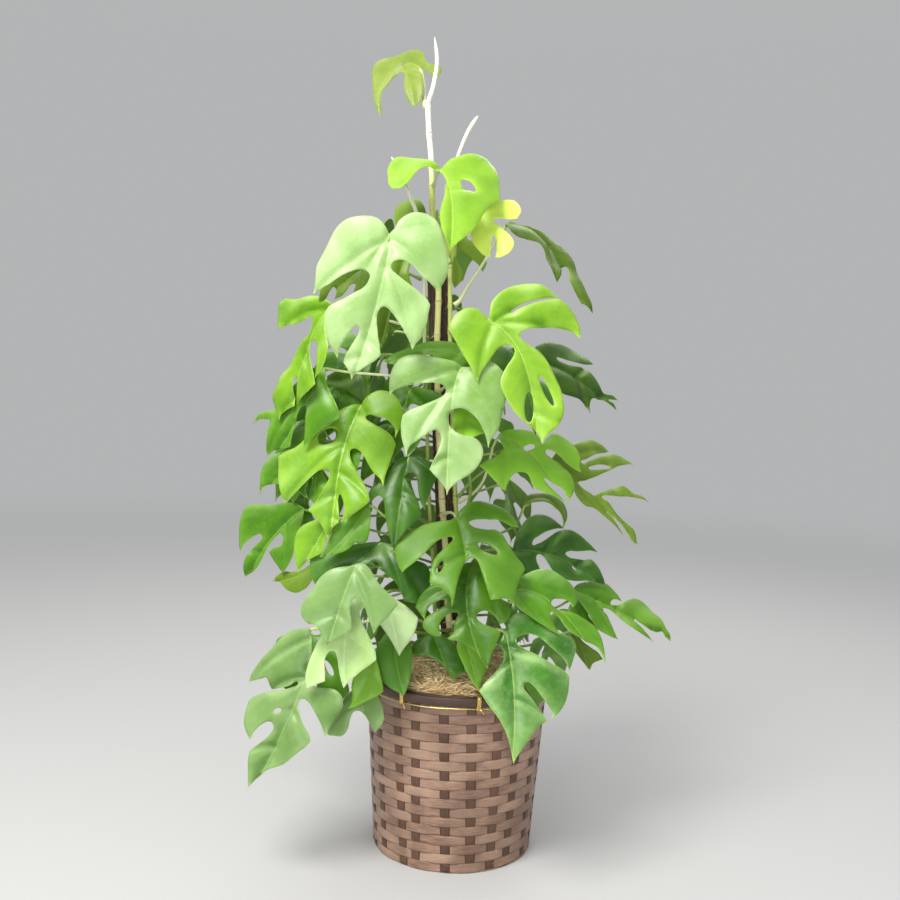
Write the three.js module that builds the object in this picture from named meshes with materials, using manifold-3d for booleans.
// Potted Rhaphidophora tetrasperma in a woven cover basket.
// Millimetres, +Z up, origin at the middle of the basket's flat underside, front of the plant towards -Y.
import * as THREE from 'three';
import { mergeVertices } from 'three/addons/utils/BufferGeometryUtils.js';
import Module from 'manifold-3d';

// ---------------------------------------------------------------- driving dimensions (mm)
const BASKET_HEIGHT = 245.6;        // floor to top of rim
const BASKET_BASE_RADIUS = 114;     // outside of the woven wall at the floor
const BASKET_TOP_RADIUS = 131.4;    // outside of the woven wall at the rim
const BASKET_WALL_TOP = 243;        // the wall ends just under the top of the hoops
const WALL = 3.2;                   // thickness of the weave
const BASKET_FLOOR = 4.5;           // thickness of the woven base
const HOOP_BOTTOM = 233.5;            // lower edge of the two rim hoops
const HOOP_TOP = 245.6;
const HOOP_THICK = 3.2;
const HOOP_OUTER_INNER_RADIUS = 131.8;
const HOOP_INNER_INNER_RADIUS = 122.6;
const WIRE_RADIUS = 0.9;            // gilt binding wire
const WIRE_LOOPS = 8;
const WIRE_FIRST_ANGLE = -77;       // degrees, anticlockwise from +X
const POT_BOTTOM = 4.9;             // grower's pot stands on the basket's floor
const POT_TOP = 213;
const POT_BASE_RADIUS = 88;
const POT_TOP_RADIUS = 111;
const POT_LIP_RADIUS = 115;
const POT_WALL = 1.6;
const DRAIN_HOLES = 6;
const SOIL_TOP = 213.1;
const WOOL_BOTTOM = 213.6;          // wood wool lies on the potting mix and the pot's lip
const WOOL_RADIUS = 118.8;
const WOOL_TOP = 263;
const POLE_RADIUS = 15;             // fibre climbing pole
const SIDE_RADIUS = 2.8;            // side shoots
const STEM_STEPS = 18;
const PETIOLE_RADIUS = 1.9;
const PETIOLE_SIDES = 5;
const PETIOLE_STEPS = 5;
const BLADE_THICKNESS = 1.1;
const BLADE_GRID = 50;              // spacing of the points inside a blade

// middle line of the climbing pole, from its foot in the potting mix
const POLE = [[0, 4, 62], [-2.6, 4, 170.4], [-9.4, 4, 278.5], [-18.5, 4, 386.6], [-26.3, 4, 494.7], [-34.7, 4, 602.7], [-42.4, 4, 710.8], [-49.5, 4, 819]];

// climbing stems: middle line, radius and the pale new shoot at the end
const STEMS = [
  { name: 'stem_main', radius: 4.3, path: [[8, -32, 168], [1.8, -34, 239.3], [-11.7, -31, 309.7], [-19.5, -27.7, 380.8], [-26.4, -25.8, 457.6], [-33.5, -24.6, 528.9], [-38.9, -24, 600.4], [-43.8, -23.3, 671.9], [-45.3, -23, 749], [-48.5, -22.6, 820.6], [-58, -20, 891.6], [-62, -21, 963.1], [-69.5, -26, 1039.7]], shoots: [{ radius: 3, steps: 8, path: [[-69.5, -26, 1035.7], [-67.2, -30, 1046.7], [-63.8, -30, 1057.6], [-61.2, -30, 1071.2], [-59.2, -30, 1084.7], [-58.7, -30, 1095.4], [-60.2, -30, 1111.5]] }, { radius: 1.1, steps: 3, path: [[-58.7, -30, 1095.4], [-60.2, -30, 1111.5], [-63.3, -30, 1128.8]] }] },
  { name: 'stem_right', radius: 3.2, path: [[30, -20, 168], [23, -20, 232.8], [10.2, -18.7, 296.8], [0.9, -17.4, 361.2], [-5.4, -16.9, 431.2], [-11.6, -17, 496.1], [-16.6, -17.6, 561.1], [-21.2, -18.1, 626.2], [-26.2, -18.1, 696.2], [-28.9, -17.9, 761.3], [-31.4, -18.5, 826.5], [-31.8, -13.1, 891.5], [-28.7, -11, 961.6]], shoots: [{ radius: 2.6, steps: 7, path: [[-28.7, -11, 957.6], [-25.6, -11, 974.1], [-21.9, -11, 985.2], [-10.4, -11, 1013], [0.1, -11, 1029.7]] }] },
  { name: 'stem_left', radius: 2.7, path: [[-31, -16, 168], [-24, -16, 224.5], [-24.9, -15.1, 280.6], [-35.2, -13.8, 337.2], [-39.6, -13.9, 398.2], [-45, -14.6, 454.8], [-50.5, -15.1, 511.4], [-53.7, -15, 568.2], [-57.3, -15, 629.2], [-61.4, -15.1, 685.9], [-64.1, -15.1, 742.9], [-66.1, -24.8, 798.6], [-67.6, -42, 857.4]], shoots: [{ radius: 2.3, steps: 7, path: [[-67.6, -42, 854.4], [-72.2, -42, 872.2], [-78.2, -42, 886.9], [-96.1, -42, 928.2], [-109.2, -42, 952], [-115.7, -42, 962.6]] }] },
  { name: 'stem_back', radius: 3.6, path: [[6, 39, 168], [-0.8, 36.9, 228.1], [-6.9, 31.2, 288], [-11.3, 27.1, 348.2], [-16.2, 25.7, 413.2], [-20.7, 25.9, 473.5], [-25.4, 26.1, 533.9], [-30, 26.1, 594.2], [-35, 25.9, 659.2], [-39.7, 25.9, 719.5], [-44.3, 26.1, 779.9], [-49.2, 25.3, 840.2], [-55, 22, 905]], shoots: [] },
];

// Leaves. at: where the petiole meets the blade; along: midrib direction; face: the side that catches light;
// outline: the blade's edge as u, v pairs in its own plane (u along the midrib); petiole: middle line in the object's frame.
const LEAVES = [
  { name: 'leaf_01', tone: 'yellow', at: [-83.73, 6, 1098.07], along: [-0.5768, -0.1948, -0.7933], face: [-0.2988, -0.8536, 0.4268], length: 91.9, width: 66.1, droop: [8, 10, 0], outline: [0, 0, 1, 36.2, -10.4, 32.6, -15.7, 22.8, -11.1, 11.7, -13.8, 0.5, -24.4, -21.3, 9.7, -77.7, 19.6, -79.8, 58.8, -44.9, 88.5, -5.8, 51.4, -30.3, 20, -29.1, 16, -22.2, 20.6, -13.7, 53.6, 22.6, 55.1, 34.8, 48.1, 36.7, 25.7, 28.5], holes: [], petiole: [[-72, -19.5, 1036.7], [-75.1, -10.9, 1047.3], [-76.9, -2.5, 1058.5], [-77.4, 3.9, 1070.9], [-79.2, 6.3, 1084.6], [-88.3, 8, 1098.2]] },
  { name: 'leaf_02', tone: 'bright', at: [-46.76, -69.87, 945.1], along: [0.104, -0.7033, -0.7033], face: [0, -0.7071, 0.7071], length: 181.5, width: 73.3, droop: [14, 14, 0], outline: [0, 0, -20.5, -24.4, -32.5, -57.9, -14.5, -70.8, 4.5, -71.2, 23.4, -70.4, 37.7, -64.1, 41.2, -56.3, 2.6, -18.9, 11.8, -0.7, 41.4, 5.4, 124.8, -7.5, 166, 1.2, 132.9, 31.1, 87.9, 55.5, 67.3, 73.3, 22.4, 76.4, -29.5, 63.4, -23.6, 27.2], holes: [[35.9, 24.2, 28.8, 27.4, 35.9, 37.4, 52.1, 42.8, 57.1, 39.7, 50.8, 27]], petiole: [[-57.9, -26.1, 929.6], [-55.8, -35, 932.4], [-54.2, -44.3, 934.6], [-52.7, -53.5, 936.8], [-50.5, -62.3, 939.8], [-45.6, -73.1, 941.5]] },
  { name: 'leaf_03', tone: 'olive', at: [46.01, 30, 891.05], along: [0.7282, 0.2156, -0.6505], face: [0.633, -0.5754, 0.5179], length: 185.4, width: 66.8, droop: [10, 6, 0], outline: [0, 0, 8.2, 18.9, 50.8, 66.3, 113.7, 97.4, 126.5, 88.8, 151.9, 54.4, 191.5, 21.4, 153.6, 14.6, 142, 21.7, 119.8, 56.7, 112.9, 47, 112.8, -11.4, 89.4, 0, 70.9, 23, 61.3, 25.5, 22.3, -9.4, 12.4, -10.9], holes: [], petiole: [[-23.4, -17.6, 766.9], [-7.9, -7.7, 790.3], [6.6, 3.4, 814.6], [20.4, 14, 839.4], [33.6, 23.4, 865.1], [49.5, 33.4, 889.9]] },
  { name: 'leaf_04', tone: 'yellow', at: [7.66, -70, 884.73], along: [0.3511, -0.5199, -0.7787], face: [-0.1276, -0.8505, 0.5103], length: 79.3, width: 52.4, droop: [5, 9, 0], outline: [0, 0, -9.5, 21.8, -10.4, 43.3, -8, 50.8, 1.3, 54.5, 14.3, 52.7, 22.6, 44.7, 18.7, 12.1, 61.2, 25.7, 75.9, 9.9, 73.4, -4.8, 40.1, 5.3, 69.7, -11.1, 65, -17.5, 39.9, -25.1, 16.1, -16.3], holes: [], petiole: [[-27.8, -19.1, 866], [-18.7, -28.2, 868.9], [-10.1, -37.7, 871.5], [-2.3, -47.9, 874.3], [3.7, -58.8, 878.4], [9.4, -72.3, 880.7]] },
  { name: 'leaf_05', tone: 'olive', at: [-34.71, 12, 867.01], along: [0.7034, -0.0715, -0.7072], face: [0.1881, -0.9407, 0.2822], length: 70.3, width: 48.6, droop: [6, 6, 0], outline: [0, 0, 27.7, 20.2, 53.7, 21.4, 62.6, 17.1, 69.6, 3.1, 34.8, -0.7, 24.1, -4.7, 22.6, -10.2, 59.8, -24.8, 61.2, -44.7, 7.9, -14.2], holes: [], petiole: [[-65.9, -27.3, 823.4], [-62.8, -16.3, 831.5], [-58.2, -5.8, 839.6], [-52.2, 3.6, 848], [-44.5, 10.7, 857.2], [-31.5, 11.8, 863.2]] },
  { name: 'leaf_06', tone: 'olive', at: [-73.61, -35, 862.4], along: [-0.9069, 0.319, 0.2752], face: [-0.1761, -0.8805, 0.4402], length: 37.8, width: 48.4, droop: [5, 6, 0], outline: [0, 0, 4.1, -28, 13.7, -42.3, 35.3, -55.6, 46, -53.3, 53.9, -45.1, 52.9, -20, 20.3, 13.9, 16.8, 41.5, 7.8, 33.3, -0.9, 11.6], holes: [], petiole: [[-69.7, -36.1, 853.3], [-70.4, -35, 854.9], [-71.3, -34.1, 856.7], [-72.2, -33.6, 858.5], [-73.1, -33.7, 860.4], [-76.5, -32.5, 865.6]] },
  { name: 'leaf_07', tone: 'pale', at: [-103.81, -185.56, 837.3], along: [-0.1858, -0.2296, -0.9554], face: [-0.0485, -0.969, 0.2423], length: 190.8, width: 82.8, droop: [14, 16, 0], outline: [0, 0, -14.8, -17.7, -15.7, -28.3, -2.9, -62.1, 55.8, -79.9, 92, -75.9, 57.6, -35.9, 52.1, -17.9, 57.8, -10.1, 74.5, -13.7, 105.8, -50.1, 113.9, -53.4, 134.7, -48.3, 165.5, -25.9, 140.4, -20.9, 123.5, -10.9, 125.3, -7.3, 168.5, -18.1, 187.7, -2.9, 151.2, 25.5, 110.3, 10.5, 95, 11.3, 97.7, 26.9, 135.9, 60.7, 112.6, 69.6, 77, 69.6, 44.9, 14.3, 35.4, 14.8, 33.8, 35.6, 56.3, 74.2, 35.9, 80.7, 13.5, 76.9, -20.9, 59.7, -33, 43.8, -31.7, 24, -26, 14.6], holes: [], petiole: [[-67, -37.9, 824.5], [-71.1, -68.1, 828.4], [-78.3, -98.2, 826.8], [-86.7, -128, 825], [-95.6, -157.5, 826.6], [-104.2, -186.5, 832.4]] },
  { name: 'leaf_08', tone: 'olive', at: [-86.87, -75, 835.68], along: [-0.2033, -0.2566, -0.9449], face: [0.0966, -0.9656, 0.2414], length: 141.2, width: 25.8, droop: [8, 6, 0], outline: [0, 0, 16.1, -16.5, 88.5, -20.6, 121.6, -13.2, 139, -0.4, 126.6, 4.5, 95.8, 0.4, 61.3, 25.7, 34.8, 10.4, 6.3, 8.5], holes: [], petiole: [[-70.1, -35.3, 822.6], [-74.2, -42.6, 825.9], [-77.6, -50.4, 828.7], [-79.9, -59, 830.1], [-83, -67.1, 832.6], [-88, -76, 830.9]] },
  { name: 'leaf_09', tone: 'yellow', at: [-26.98, -61.11, 820.97], along: [-0.0978, -0.1858, 0.9777], face: [-0.0976, -0.9759, -0.1952], length: 112.4, width: 14, droop: [6, 5, 0], outline: [0, 0, 45.7, 12.8, 111.9, -0.6, 89.8, -11.4, 59.8, -13.8], holes: [], petiole: [[-43.6, -28.4, 811], [-39.8, -34, 814.6], [-36.1, -40, 818], [-32.7, -46.5, 820.4], [-29.6, -53.5, 821.4], [-27.4, -61.8, 825.9]] },
  { name: 'leaf_10', tone: 'olive', at: [-129.5, -112.17, 810.75], along: [-0.8032, 0.0632, -0.5924], face: [-0.2762, -0.9206, 0.2762], length: 88.6, width: 31.5, droop: [6, 8, 0], outline: [0, 0, 19.8, -20.5, 48.5, -26.7, 63.9, -22.9, 89.5, -3.9, 79.3, -0.6, 61.2, -5.1, 69.7, 9, 60.3, 13, 35.4, 10.5, 50.2, 25.4, 39.2, 28.6, 14.6, 21.1, 4.9, 13.5], holes: [], petiole: [[-70.8, -27.8, 800.5], [-88.6, -38.4, 806.6], [-104.4, -52.6, 810.1], [-115.7, -71, 810], [-122.4, -91.5, 808.6], [-133.5, -111.6, 807.7]] },
  { name: 'leaf_11', tone: 'bright', at: [-183.79, -104.27, 756.47], along: [-0.3688, -0.0023, -0.9295], face: [-0.5834, -0.7779, 0.2334], length: 168.7, width: 92.2, droop: [14, 8, 5], outline: [0, 0, 0.4, -37.2, 19, -96.2, 26.7, -105.1, 59.9, -82.6, 25.5, -23.1, 32, -18, 51.6, -17, 67.9, -26.9, 140.4, -45, 147.8, -43.6, 171.2, -16.3, 160.3, -15.2, 144.4, -0.5, 108.5, -15.8, 141, 3.7, 105.8, 29.4, 63.4, -8.8, 57.2, -9.1, 56, 7.1, 76.8, 21.5, 99.5, 26.5, 79.6, 34.3, 53.3, 29.7, 29.2, 7.1, 15.6, 0.3], holes: [], petiole: [[-68.4, -17, 729.2], [-94.6, -29.1, 736.8], [-120.3, -43.3, 741.6], [-144.2, -60.8, 745.4], [-165.2, -81.4, 750], [-186, -103.5, 752.1]] },
  { name: 'leaf_12', tone: 'bright', at: [23.34, -163.71, 738.27], along: [0.3977, -0.2494, -0.883], face: [0.1402, -0.9345, 0.3271], length: 173.3, width: 106.1, droop: [14, 14, 0], outline: [0, 0, -18.9, 10.4, -29.1, 28.6, -28.4, 72.9, -16.6, 90, -1.4, 99, -5.8, 48.6, -0.1, 30.6, -0.3, 99.3, 28.5, 112.2, 59.8, 105.1, 44.6, 94.3, 34.1, 72.1, 28.1, 47.1, 30.9, 30.4, 42.2, 30.6, 78.6, 50.7, 127.2, 50.7, 148.4, 41.7, 171.3, 4.5, 154, 4, 118.9, -15.7, 87.5, -19.4, 47.6, 15.5, 39.3, 7.5, 39.4, -0.8, 72.8, -43, 5.4, -52.9, -10.1, -48.2, -21.1, -25.6, -15.5, -9.8], holes: [[130.8, 36.8, 123.6, 33, 106.5, 30.6, 90, 32.9, 97.3, 36.6, 114.5, 39], [140.2, -1, 131.9, -3, 116.2, 2.1, 104.1, 13.9, 112.5, 15.8, 128.3, 10.6]], petiole: [[-26, -23.3, 729.2], [-16, -51.1, 734.6], [-4.8, -78.9, 735.7], [6.8, -106.4, 733.5], [16.8, -134.7, 732.6], [26.6, -164.2, 734.5]] },
  { name: 'leaf_13', tone: 'dark', at: [83.14, -10, 694.71], along: [0.8439, 0.3434, -0.4122], face: [0.5147, -0.7352, 0.4411], length: 160.3, width: 57.9, droop: [10, 10, 0], outline: [0, 0, 4, 21.4, 37.9, 61.3, 89.9, 75.8, 103.9, 75.3, 116.8, 66.8, 46.7, 31.9, 109.6, 45.8, 139, 24.4, 159.9, 31.8, 169.6, 30.2, 150.8, 18.3, 168.4, 9.3, 144, 12.3, 119, 0.5, 118.5, -27.2, 109.8, -17.7, 96.7, -15.8, 66.5, -23.7, 34.6, -20.6], holes: [], petiole: [[-17.8, -21.6, 640.1], [4.5, -33.8, 646.8], [29.2, -37.7, 654.7], [53.3, -32.6, 663.7], [73.9, -20.6, 674.8], [87.3, -7.5, 693.4]] },
  { name: 'leaf_14', tone: 'mid', at: [1.36, -130, 691.3], along: [-0.9947, -0.0588, -0.0841], face: [0, -0.8192, 0.5735], length: 110.8, width: 27.7, droop: [8, 8, 0], outline: [0, 0, 17.8, -23.9, 43.4, -32.3, 68.6, -27, 111.7, -6.3, 80.5, 9.5, 59.4, -1.2, 47.5, 17.5, 18.2, 20.6], holes: [[47.1, -3.8, 51.1, -2.9, 59.1, -5.5, 65.8, -11.4, 61.8, -12.2, 53.8, -9.5]], petiole: [[-42.3, -29.9, 673.7], [-36.1, -50.6, 678.2], [-28.2, -71.1, 681.5], [-19.2, -91.1, 684.1], [-9.3, -110.7, 687], [-3.6, -129.3, 691.7]] },
  { name: 'leaf_15', tone: 'dark', at: [-132.25, -54.79, 688.11], along: [-0.8915, -0.0029, -0.453], face: [-0.1826, -0.9129, 0.3651], length: 68.1, width: 55.5, droop: [6, 8, 0], outline: [0, 0, 67.3, -7.5, 71.8, 3.3, 34.1, 51.6, 17.6, 38.8], holes: [], petiole: [[-50.2, -25.9, 673.9], [-67.8, -29.2, 685.5], [-88.2, -28.7, 692.1], [-109.6, -28.1, 694.6], [-129.4, -34.5, 692.6], [-135.8, -55.2, 684.6]] },
  { name: 'leaf_16', tone: 'pale', at: [-8.22, -176.08, 677.99], along: [-0.0748, -0.29, -0.9541], face: [0.0478, -0.9567, 0.287], length: 165.3, width: 86.9, droop: [12, 14, 0], outline: [0, 0, -6.3, -69.7, 4.8, -83.5, 25.5, -87.6, 47.5, -84.5, 31.8, -63.7, 26.7, -39.4, 28.7, -18.8, 38.5, -17.7, 44.1, -23.6, 70.8, -65.5, 92.8, -64.7, 122.6, -53.9, 107, -50.6, 87, -27.1, 88.4, -17.3, 102.1, -15.4, 134, -24.5, 163, 0.2, 122.8, 34, 105, 38.4, 91.1, 31, 79, -4.6, 61.8, -8.3, 54.7, 2.5, 60.7, 19.4, 76.2, 34, 99.1, 44.1, 74.9, 53.6, 16.5, 60.4, -10.5, 38.6], holes: [], petiole: [[-39.8, -29.9, 645.7], [-30.4, -58.4, 653.1], [-24, -87.9, 658.8], [-20.9, -118.3, 662.8], [-18.2, -148.6, 667.6], [-9.2, -177.2, 673.2]] },
  { name: 'leaf_17', tone: 'mid', at: [-194.81, -92.99, 673.81], along: [-0.4926, 0.0347, -0.8696], face: [-0.4983, -0.8305, 0.2491], length: 142.9, width: 71.5, droop: [12, 10, 0], outline: [0, 0, 20.6, -16.2, 85.8, -36.9, 104.2, -61.8, 126.3, -69.5, 114.4, -59.9, 103.1, -34.1, 146.1, -11.4, 115.1, 15.8, 60, 3.3, 55.7, 7.2, 58.6, 13.1, 104.5, 38.4, 44, 64.6, 30.7, 51.9], holes: [], petiole: [[-61.1, -20, 656.5], [-78.2, -46, 662.2], [-104.9, -62.9, 664.8], [-135.1, -72.9, 665.9], [-166, -80.6, 667.6], [-196.7, -92.9, 669.2]] },
  { name: 'leaf_18', tone: 'mid', at: [8.5, -128.93, 638.73], along: [-0.1497, -0.7316, -0.6651], face: [0, -0.6727, 0.7399], length: 97.4, width: 25.5, droop: [5, 6, 0], outline: [0, 0, 14, -17.1, 25.5, -21.1, 57.4, -15.5, 93, -0.7, 76.7, 5.1, 58.5, 22.9, 44.7, 25.1, 14.7, 16.9], holes: [], petiole: [[-4.3, -19.7, 470.9], [8.7, -41.1, 503], [6.8, -70.1, 532.3], [2.1, -96.8, 563.5], [1.9, -117, 599.4], [7.6, -132.4, 635.2]] },
  { name: 'leaf_19', tone: 'bright', at: [-142.31, -83.3, 625.14], along: [-0.1544, -0.3861, -0.9094], face: [-0.1355, -0.9035, 0.4066], length: 191.6, width: 93.1, droop: [14, 12, 0], outline: [0, 0, 11.1, -24.3, 63, -68.4, 85.5, -99, 125.3, -87.1, 148.2, -73.9, 99.9, -34.5, 101.6, -20.4, 128.9, -25.7, 152.5, -39.4, 172.8, -14.6, 188.3, -4.4, 173.6, -2, 163.9, 5.8, 126.9, -1, 147.9, 10.7, 164.3, 7.3, 130.2, 40.5, 84.6, 8.1, 66.5, 1.3, 65.3, 12.1, 70.4, 18.7, 109.4, 54.8, 50.5, 59.4, 36, 46.5, 17, 10.4, 15.4, 27.1, 22.3, 47.6, 41.9, 56.6, 18.8, 60.8, -4.2, 55.5, -20.3, 39.8, -21.4, 18.8], holes: [[41.4, -23.5, 51, -22, 61.4, -29.8, 62.6, -45.5, 53, -47.2, 42.7, -39.2]], petiole: [[-59.4, -18, 595.6], [-77.1, -30.5, 600.6], [-94.9, -43.2, 604.7], [-112.6, -56.2, 608], [-129.5, -69.8, 612.7], [-143.6, -84.8, 620.5]] },
  { name: 'leaf_20', tone: 'mid', at: [43.05, -115, 592.88], along: [0.7494, -0.1275, -0.6497], face: [0.2875, -0.8213, 0.4928], length: 124.6, width: 67, droop: [12, 10, 0], outline: [0, 0, 3, 11.8, 20.2, 34.3, 30.1, 41, 47.9, 37.1, 50.5, 66.9, 79.8, 80, 89.9, 77.6, 111.9, 53.9, 64.9, 39.8, 58.4, 34, 60.8, 29.6, 91.5, 36.4, 112.7, 33.1, 119.8, 27, 125.2, 7.6, 101.1, 9.5, 82.6, 0.1, 132.6, 0.7, 120.2, -0.4, 84.4, -19, 63, -14, 55.8, -18.4, 51.1, -35.2, 58.5, -53.4, 11.2, -54.5, 18.2, -12, 2.9, -6.7], holes: [[44.7, 24.5, 45, 19.8, 41.7, 13.7, 35.7, 11.6, 35.4, 16.2, 38.7, 22.3]], petiole: [[-6.3, -19.7, 492.1], [14.5, -35.1, 507.5], [26.8, -53.6, 527.9], [32.2, -73.3, 550.1], [35.9, -93.7, 572.2], [47.4, -114.6, 590.4]] },
  { name: 'leaf_21', tone: 'deep', at: [-74.36, -105.16, 560.38], along: [-0.0946, -0.4414, -0.8923], face: [-0.0447, -0.8935, 0.4468], length: 131, width: 42, droop: [10, 10, 0], outline: [0, 0, 12.2, -18.4, 57.6, -44.2, 67.4, -40.7, 59.4, -31.3, 62.8, -26.2, 128.7, -1.3, 78.8, 27.6, 29.4, -0.5, 23.6, 5.8, 26.3, 11.2, 73.7, 32, 26.9, 40.1, 2.4, 20.9], holes: [], petiole: [[-37.2, -30.5, 535.5], [-44.9, -45.9, 538.7], [-52.2, -61.4, 541.6], [-59.6, -76.5, 546.1], [-67, -91, 552.4], [-75, -107.1, 555.8]] },
  { name: 'leaf_22', tone: 'olive', at: [117.03, -60, 558.1], along: [0.745, 0.0336, -0.6662], face: [0.5341, -0.6284, 0.5655], length: 166.1, width: 118.7, droop: [10, 8, 0], outline: [0, 0, 5.4, 41.7, 30.2, 98.1, 41.8, 111.8, 52.5, 117.1, 64.6, 115.9, 38, 41.1, 71.7, 117.3, 82.9, 129, 107.6, 138.4, 88.6, 105.9, 51, 9.2, 58.8, 5.4, 77.5, 12.8, 109.3, 79.3, 158.1, 102.2, 131.4, 78.9, 90.3, 20.7, 155.4, 25.2, 171.5, 13.9, 105.3, 8.5, 146.1, 4.9, 94.1, -4.8, 66.4, -22, 7.4, -11], holes: [[78.1, 87.7, 74.1, 75.7, 62.7, 56.3, 50.2, 44, 53.8, 54.9, 65.1, 74]], petiole: [[-7, -20, 499], [12.8, -27.4, 525], [39.3, -29.3, 545.4], [70.5, -27.7, 557.5], [103.4, -31.3, 560.5], [120.9, -58.8, 555.2]] },
  { name: 'leaf_23', tone: 'mid', at: [-220.14, -37.05, 551.01], along: [-0.7416, 0.1413, -0.6558], face: [-0.4268, -0.8536, 0.2988], length: 89.9, width: 45.9, droop: [6, 8, 0], outline: [0, 0, 21.9, -25.7, 46.4, -40.4, 67.8, -37.5, 92.9, -4.3, 82.4, -9, 72.8, -5.5, 53.7, 10.9, 55.6, 40.9, 43.1, 40.3, 14, 25], holes: [], petiole: [[-57.6, -15.3, 542.8], [-92, -17.4, 545.7], [-126, -20.8, 540.6], [-158.9, -25.9, 531], [-192.4, -32.1, 531], [-224, -35.8, 548.1]] },
  { name: 'leaf_24', tone: 'mid', at: [-124.18, -116.4, 495.9], along: [-0.6103, -0.3046, -0.7313], face: [-0.0891, -0.8909, 0.4454], length: 95.5, width: 33.5, droop: [8, 8, 0], outline: [0, 0, 36.6, -13.8, 95.1, -3.6, 70.9, 16.7, 51.3, 20.5, 41.8, 31.4, 21.2, 21.2], holes: [], petiole: [[-42.7, -19.8, 427.9], [-51.7, -43.2, 443.3], [-65.2, -66.7, 454.7], [-84, -87, 464.5], [-104.7, -103, 477.9], [-126.7, -117.9, 491.8]] },
  { name: 'leaf_25', tone: 'olive', at: [84.5, -30, 493.37], along: [0.8106, -0.3836, -0.4424], face: [0.2074, -0.5185, 0.8296], length: 65.7, width: 51.3, droop: [3, 3, 0], outline: [0, 0, -5.8, 16.1, -4.4, 32.1, 10.9, 53.5, 21.7, 56.1, 45.9, 44.2, 64.6, 3.7, 53.6, 21.1, 29.1, 35.6, 18.5, 31.5], holes: [], petiole: [[0.6, -16.2, 426.6], [22.2, -13.8, 435.6], [43.9, -12.9, 444.3], [64.7, -15, 454.8], [78.9, -21.9, 471.7], [88.6, -27.1, 493.8]] },
  { name: 'leaf_26', tone: 'mid', at: [-9.19, -122.22, 483.81], along: [0.155, -0.6804, -0.7162], face: [0, -0.725, 0.6887], length: 150.4, width: 84.1, droop: [14, 14, 0], outline: [0, 0, 7.1, -8.7, 11, -51, 25.9, -82.1, 49, -83.1, 72.6, -77.1, 36.4, -24.7, 33.9, -8.7, 60.9, -32.9, 93.9, -44.7, 109.9, -25.1, 129.8, -21.1, 75, 0.2, 65.8, 15.1, 125.1, 28.3, 126.9, 50.3, 140.7, 55.1, 102.1, 67.4, 84.6, 78.4, 77.6, 76.3, 33, 56.2, 26.2, 49.3, 24.4, 27.7, 14, 15.3, 8.4, 43.2, 21.7, 80.3, 10, 79.2, -7.1, 67, -20, 35.2, -11.2, 10.7], holes: [[64.1, 45, 63.5, 38.6, 56, 28.8, 44.4, 23, 45.2, 29.4, 52.8, 39.3], [67.4, -24.1, 72, -24.2, 79, -28.3, 82.9, -34.7, 78.4, -34.6, 71.4, -30.6]], petiole: [[-25.9, -31.7, 475], [-19.8, -49, 479.7], [-14.2, -67.1, 480.7], [-10.1, -85.4, 478.6], [-8.4, -104.2, 477.4], [-8, -125.3, 480.1]] },
  { name: 'leaf_27', tone: 'mid', at: [-220.86, -45.5, 477.77], along: [-0.6337, 0.0792, -0.7695], face: [-0.4607, -0.8377, 0.2932], length: 130.3, width: 74.3, droop: [10, 8, 0], outline: [0, 0, 4, -14.3, 69, -83.7, 89.7, -76.6, 107.3, -56.2, 115.8, -37.2, 94, -39.9, 75.4, -29.3, 75.5, -23.6, 115, -24.8, 135.8, -7.4, 112.3, 1.5, 72.3, -5.3, 50.2, -2.7, 49.9, 4.5, 60.4, 13.1, 80.4, 3.4, 84.2, 42.3, 56.5, 38.1], holes: [], petiole: [[-50.7, -16.1, 460.7], [-85.3, -18.6, 468.3], [-121.3, -18.5, 467.4], [-157.2, -20, 465.7], [-192.5, -26.8, 467], [-224.3, -44.5, 474.3]] },
  { name: 'leaf_28', tone: 'bright', at: [-171.92, -109.53, 474.73], along: [-0.4764, -0.238, -0.8464], face: [-0.2639, -0.8796, 0.3958], length: 86, width: 31.6, droop: [6, 7, 0], outline: [0, 0, 22.7, -27.4, 38.8, -35, 60, -26.8, 86, -3.2, 64.7, 0.9, 49.3, 13.2, 5.8, 8.1], holes: [], petiole: [[-46.3, -16.7, 424.4], [-73.4, -32.2, 435.3], [-100.3, -48.6, 445.1], [-126.6, -66.5, 453.9], [-151.3, -86.6, 462.3], [-174.4, -110.4, 470.4]] },
  { name: 'leaf_29', tone: 'deep', at: [-106.17, -107.14, 444.95], along: [-0.7753, -0.325, -0.5416], face: [0, -0.8575, 0.5145], length: 105.3, width: 100.6, droop: [10, 10, 0], outline: [0, 0, 29, -16.3, 89.7, -37.6, 104.2, -3.7, 95.1, -8.9, 72.6, -6.7, 30.2, 20.1, 19.2, 57.2, 24.2, 84, 11.7, 96.9, 2.1, 98.1, -19, 83.2, -27.5, 63.3, -9.3, 35.8], holes: [[22.9, 30.1, 25.4, 28.2, 27.3, 22.8, 26.3, 17, 23.8, 18.8, 21.9, 24.3]], petiole: [[-46, -17.8, 428.9], [-61.7, -33.1, 432.9], [-76.2, -49.9, 434.7], [-88.9, -68.1, 434.8], [-99.3, -87.7, 436.2], [-109.7, -108.7, 441.8]] },
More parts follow.
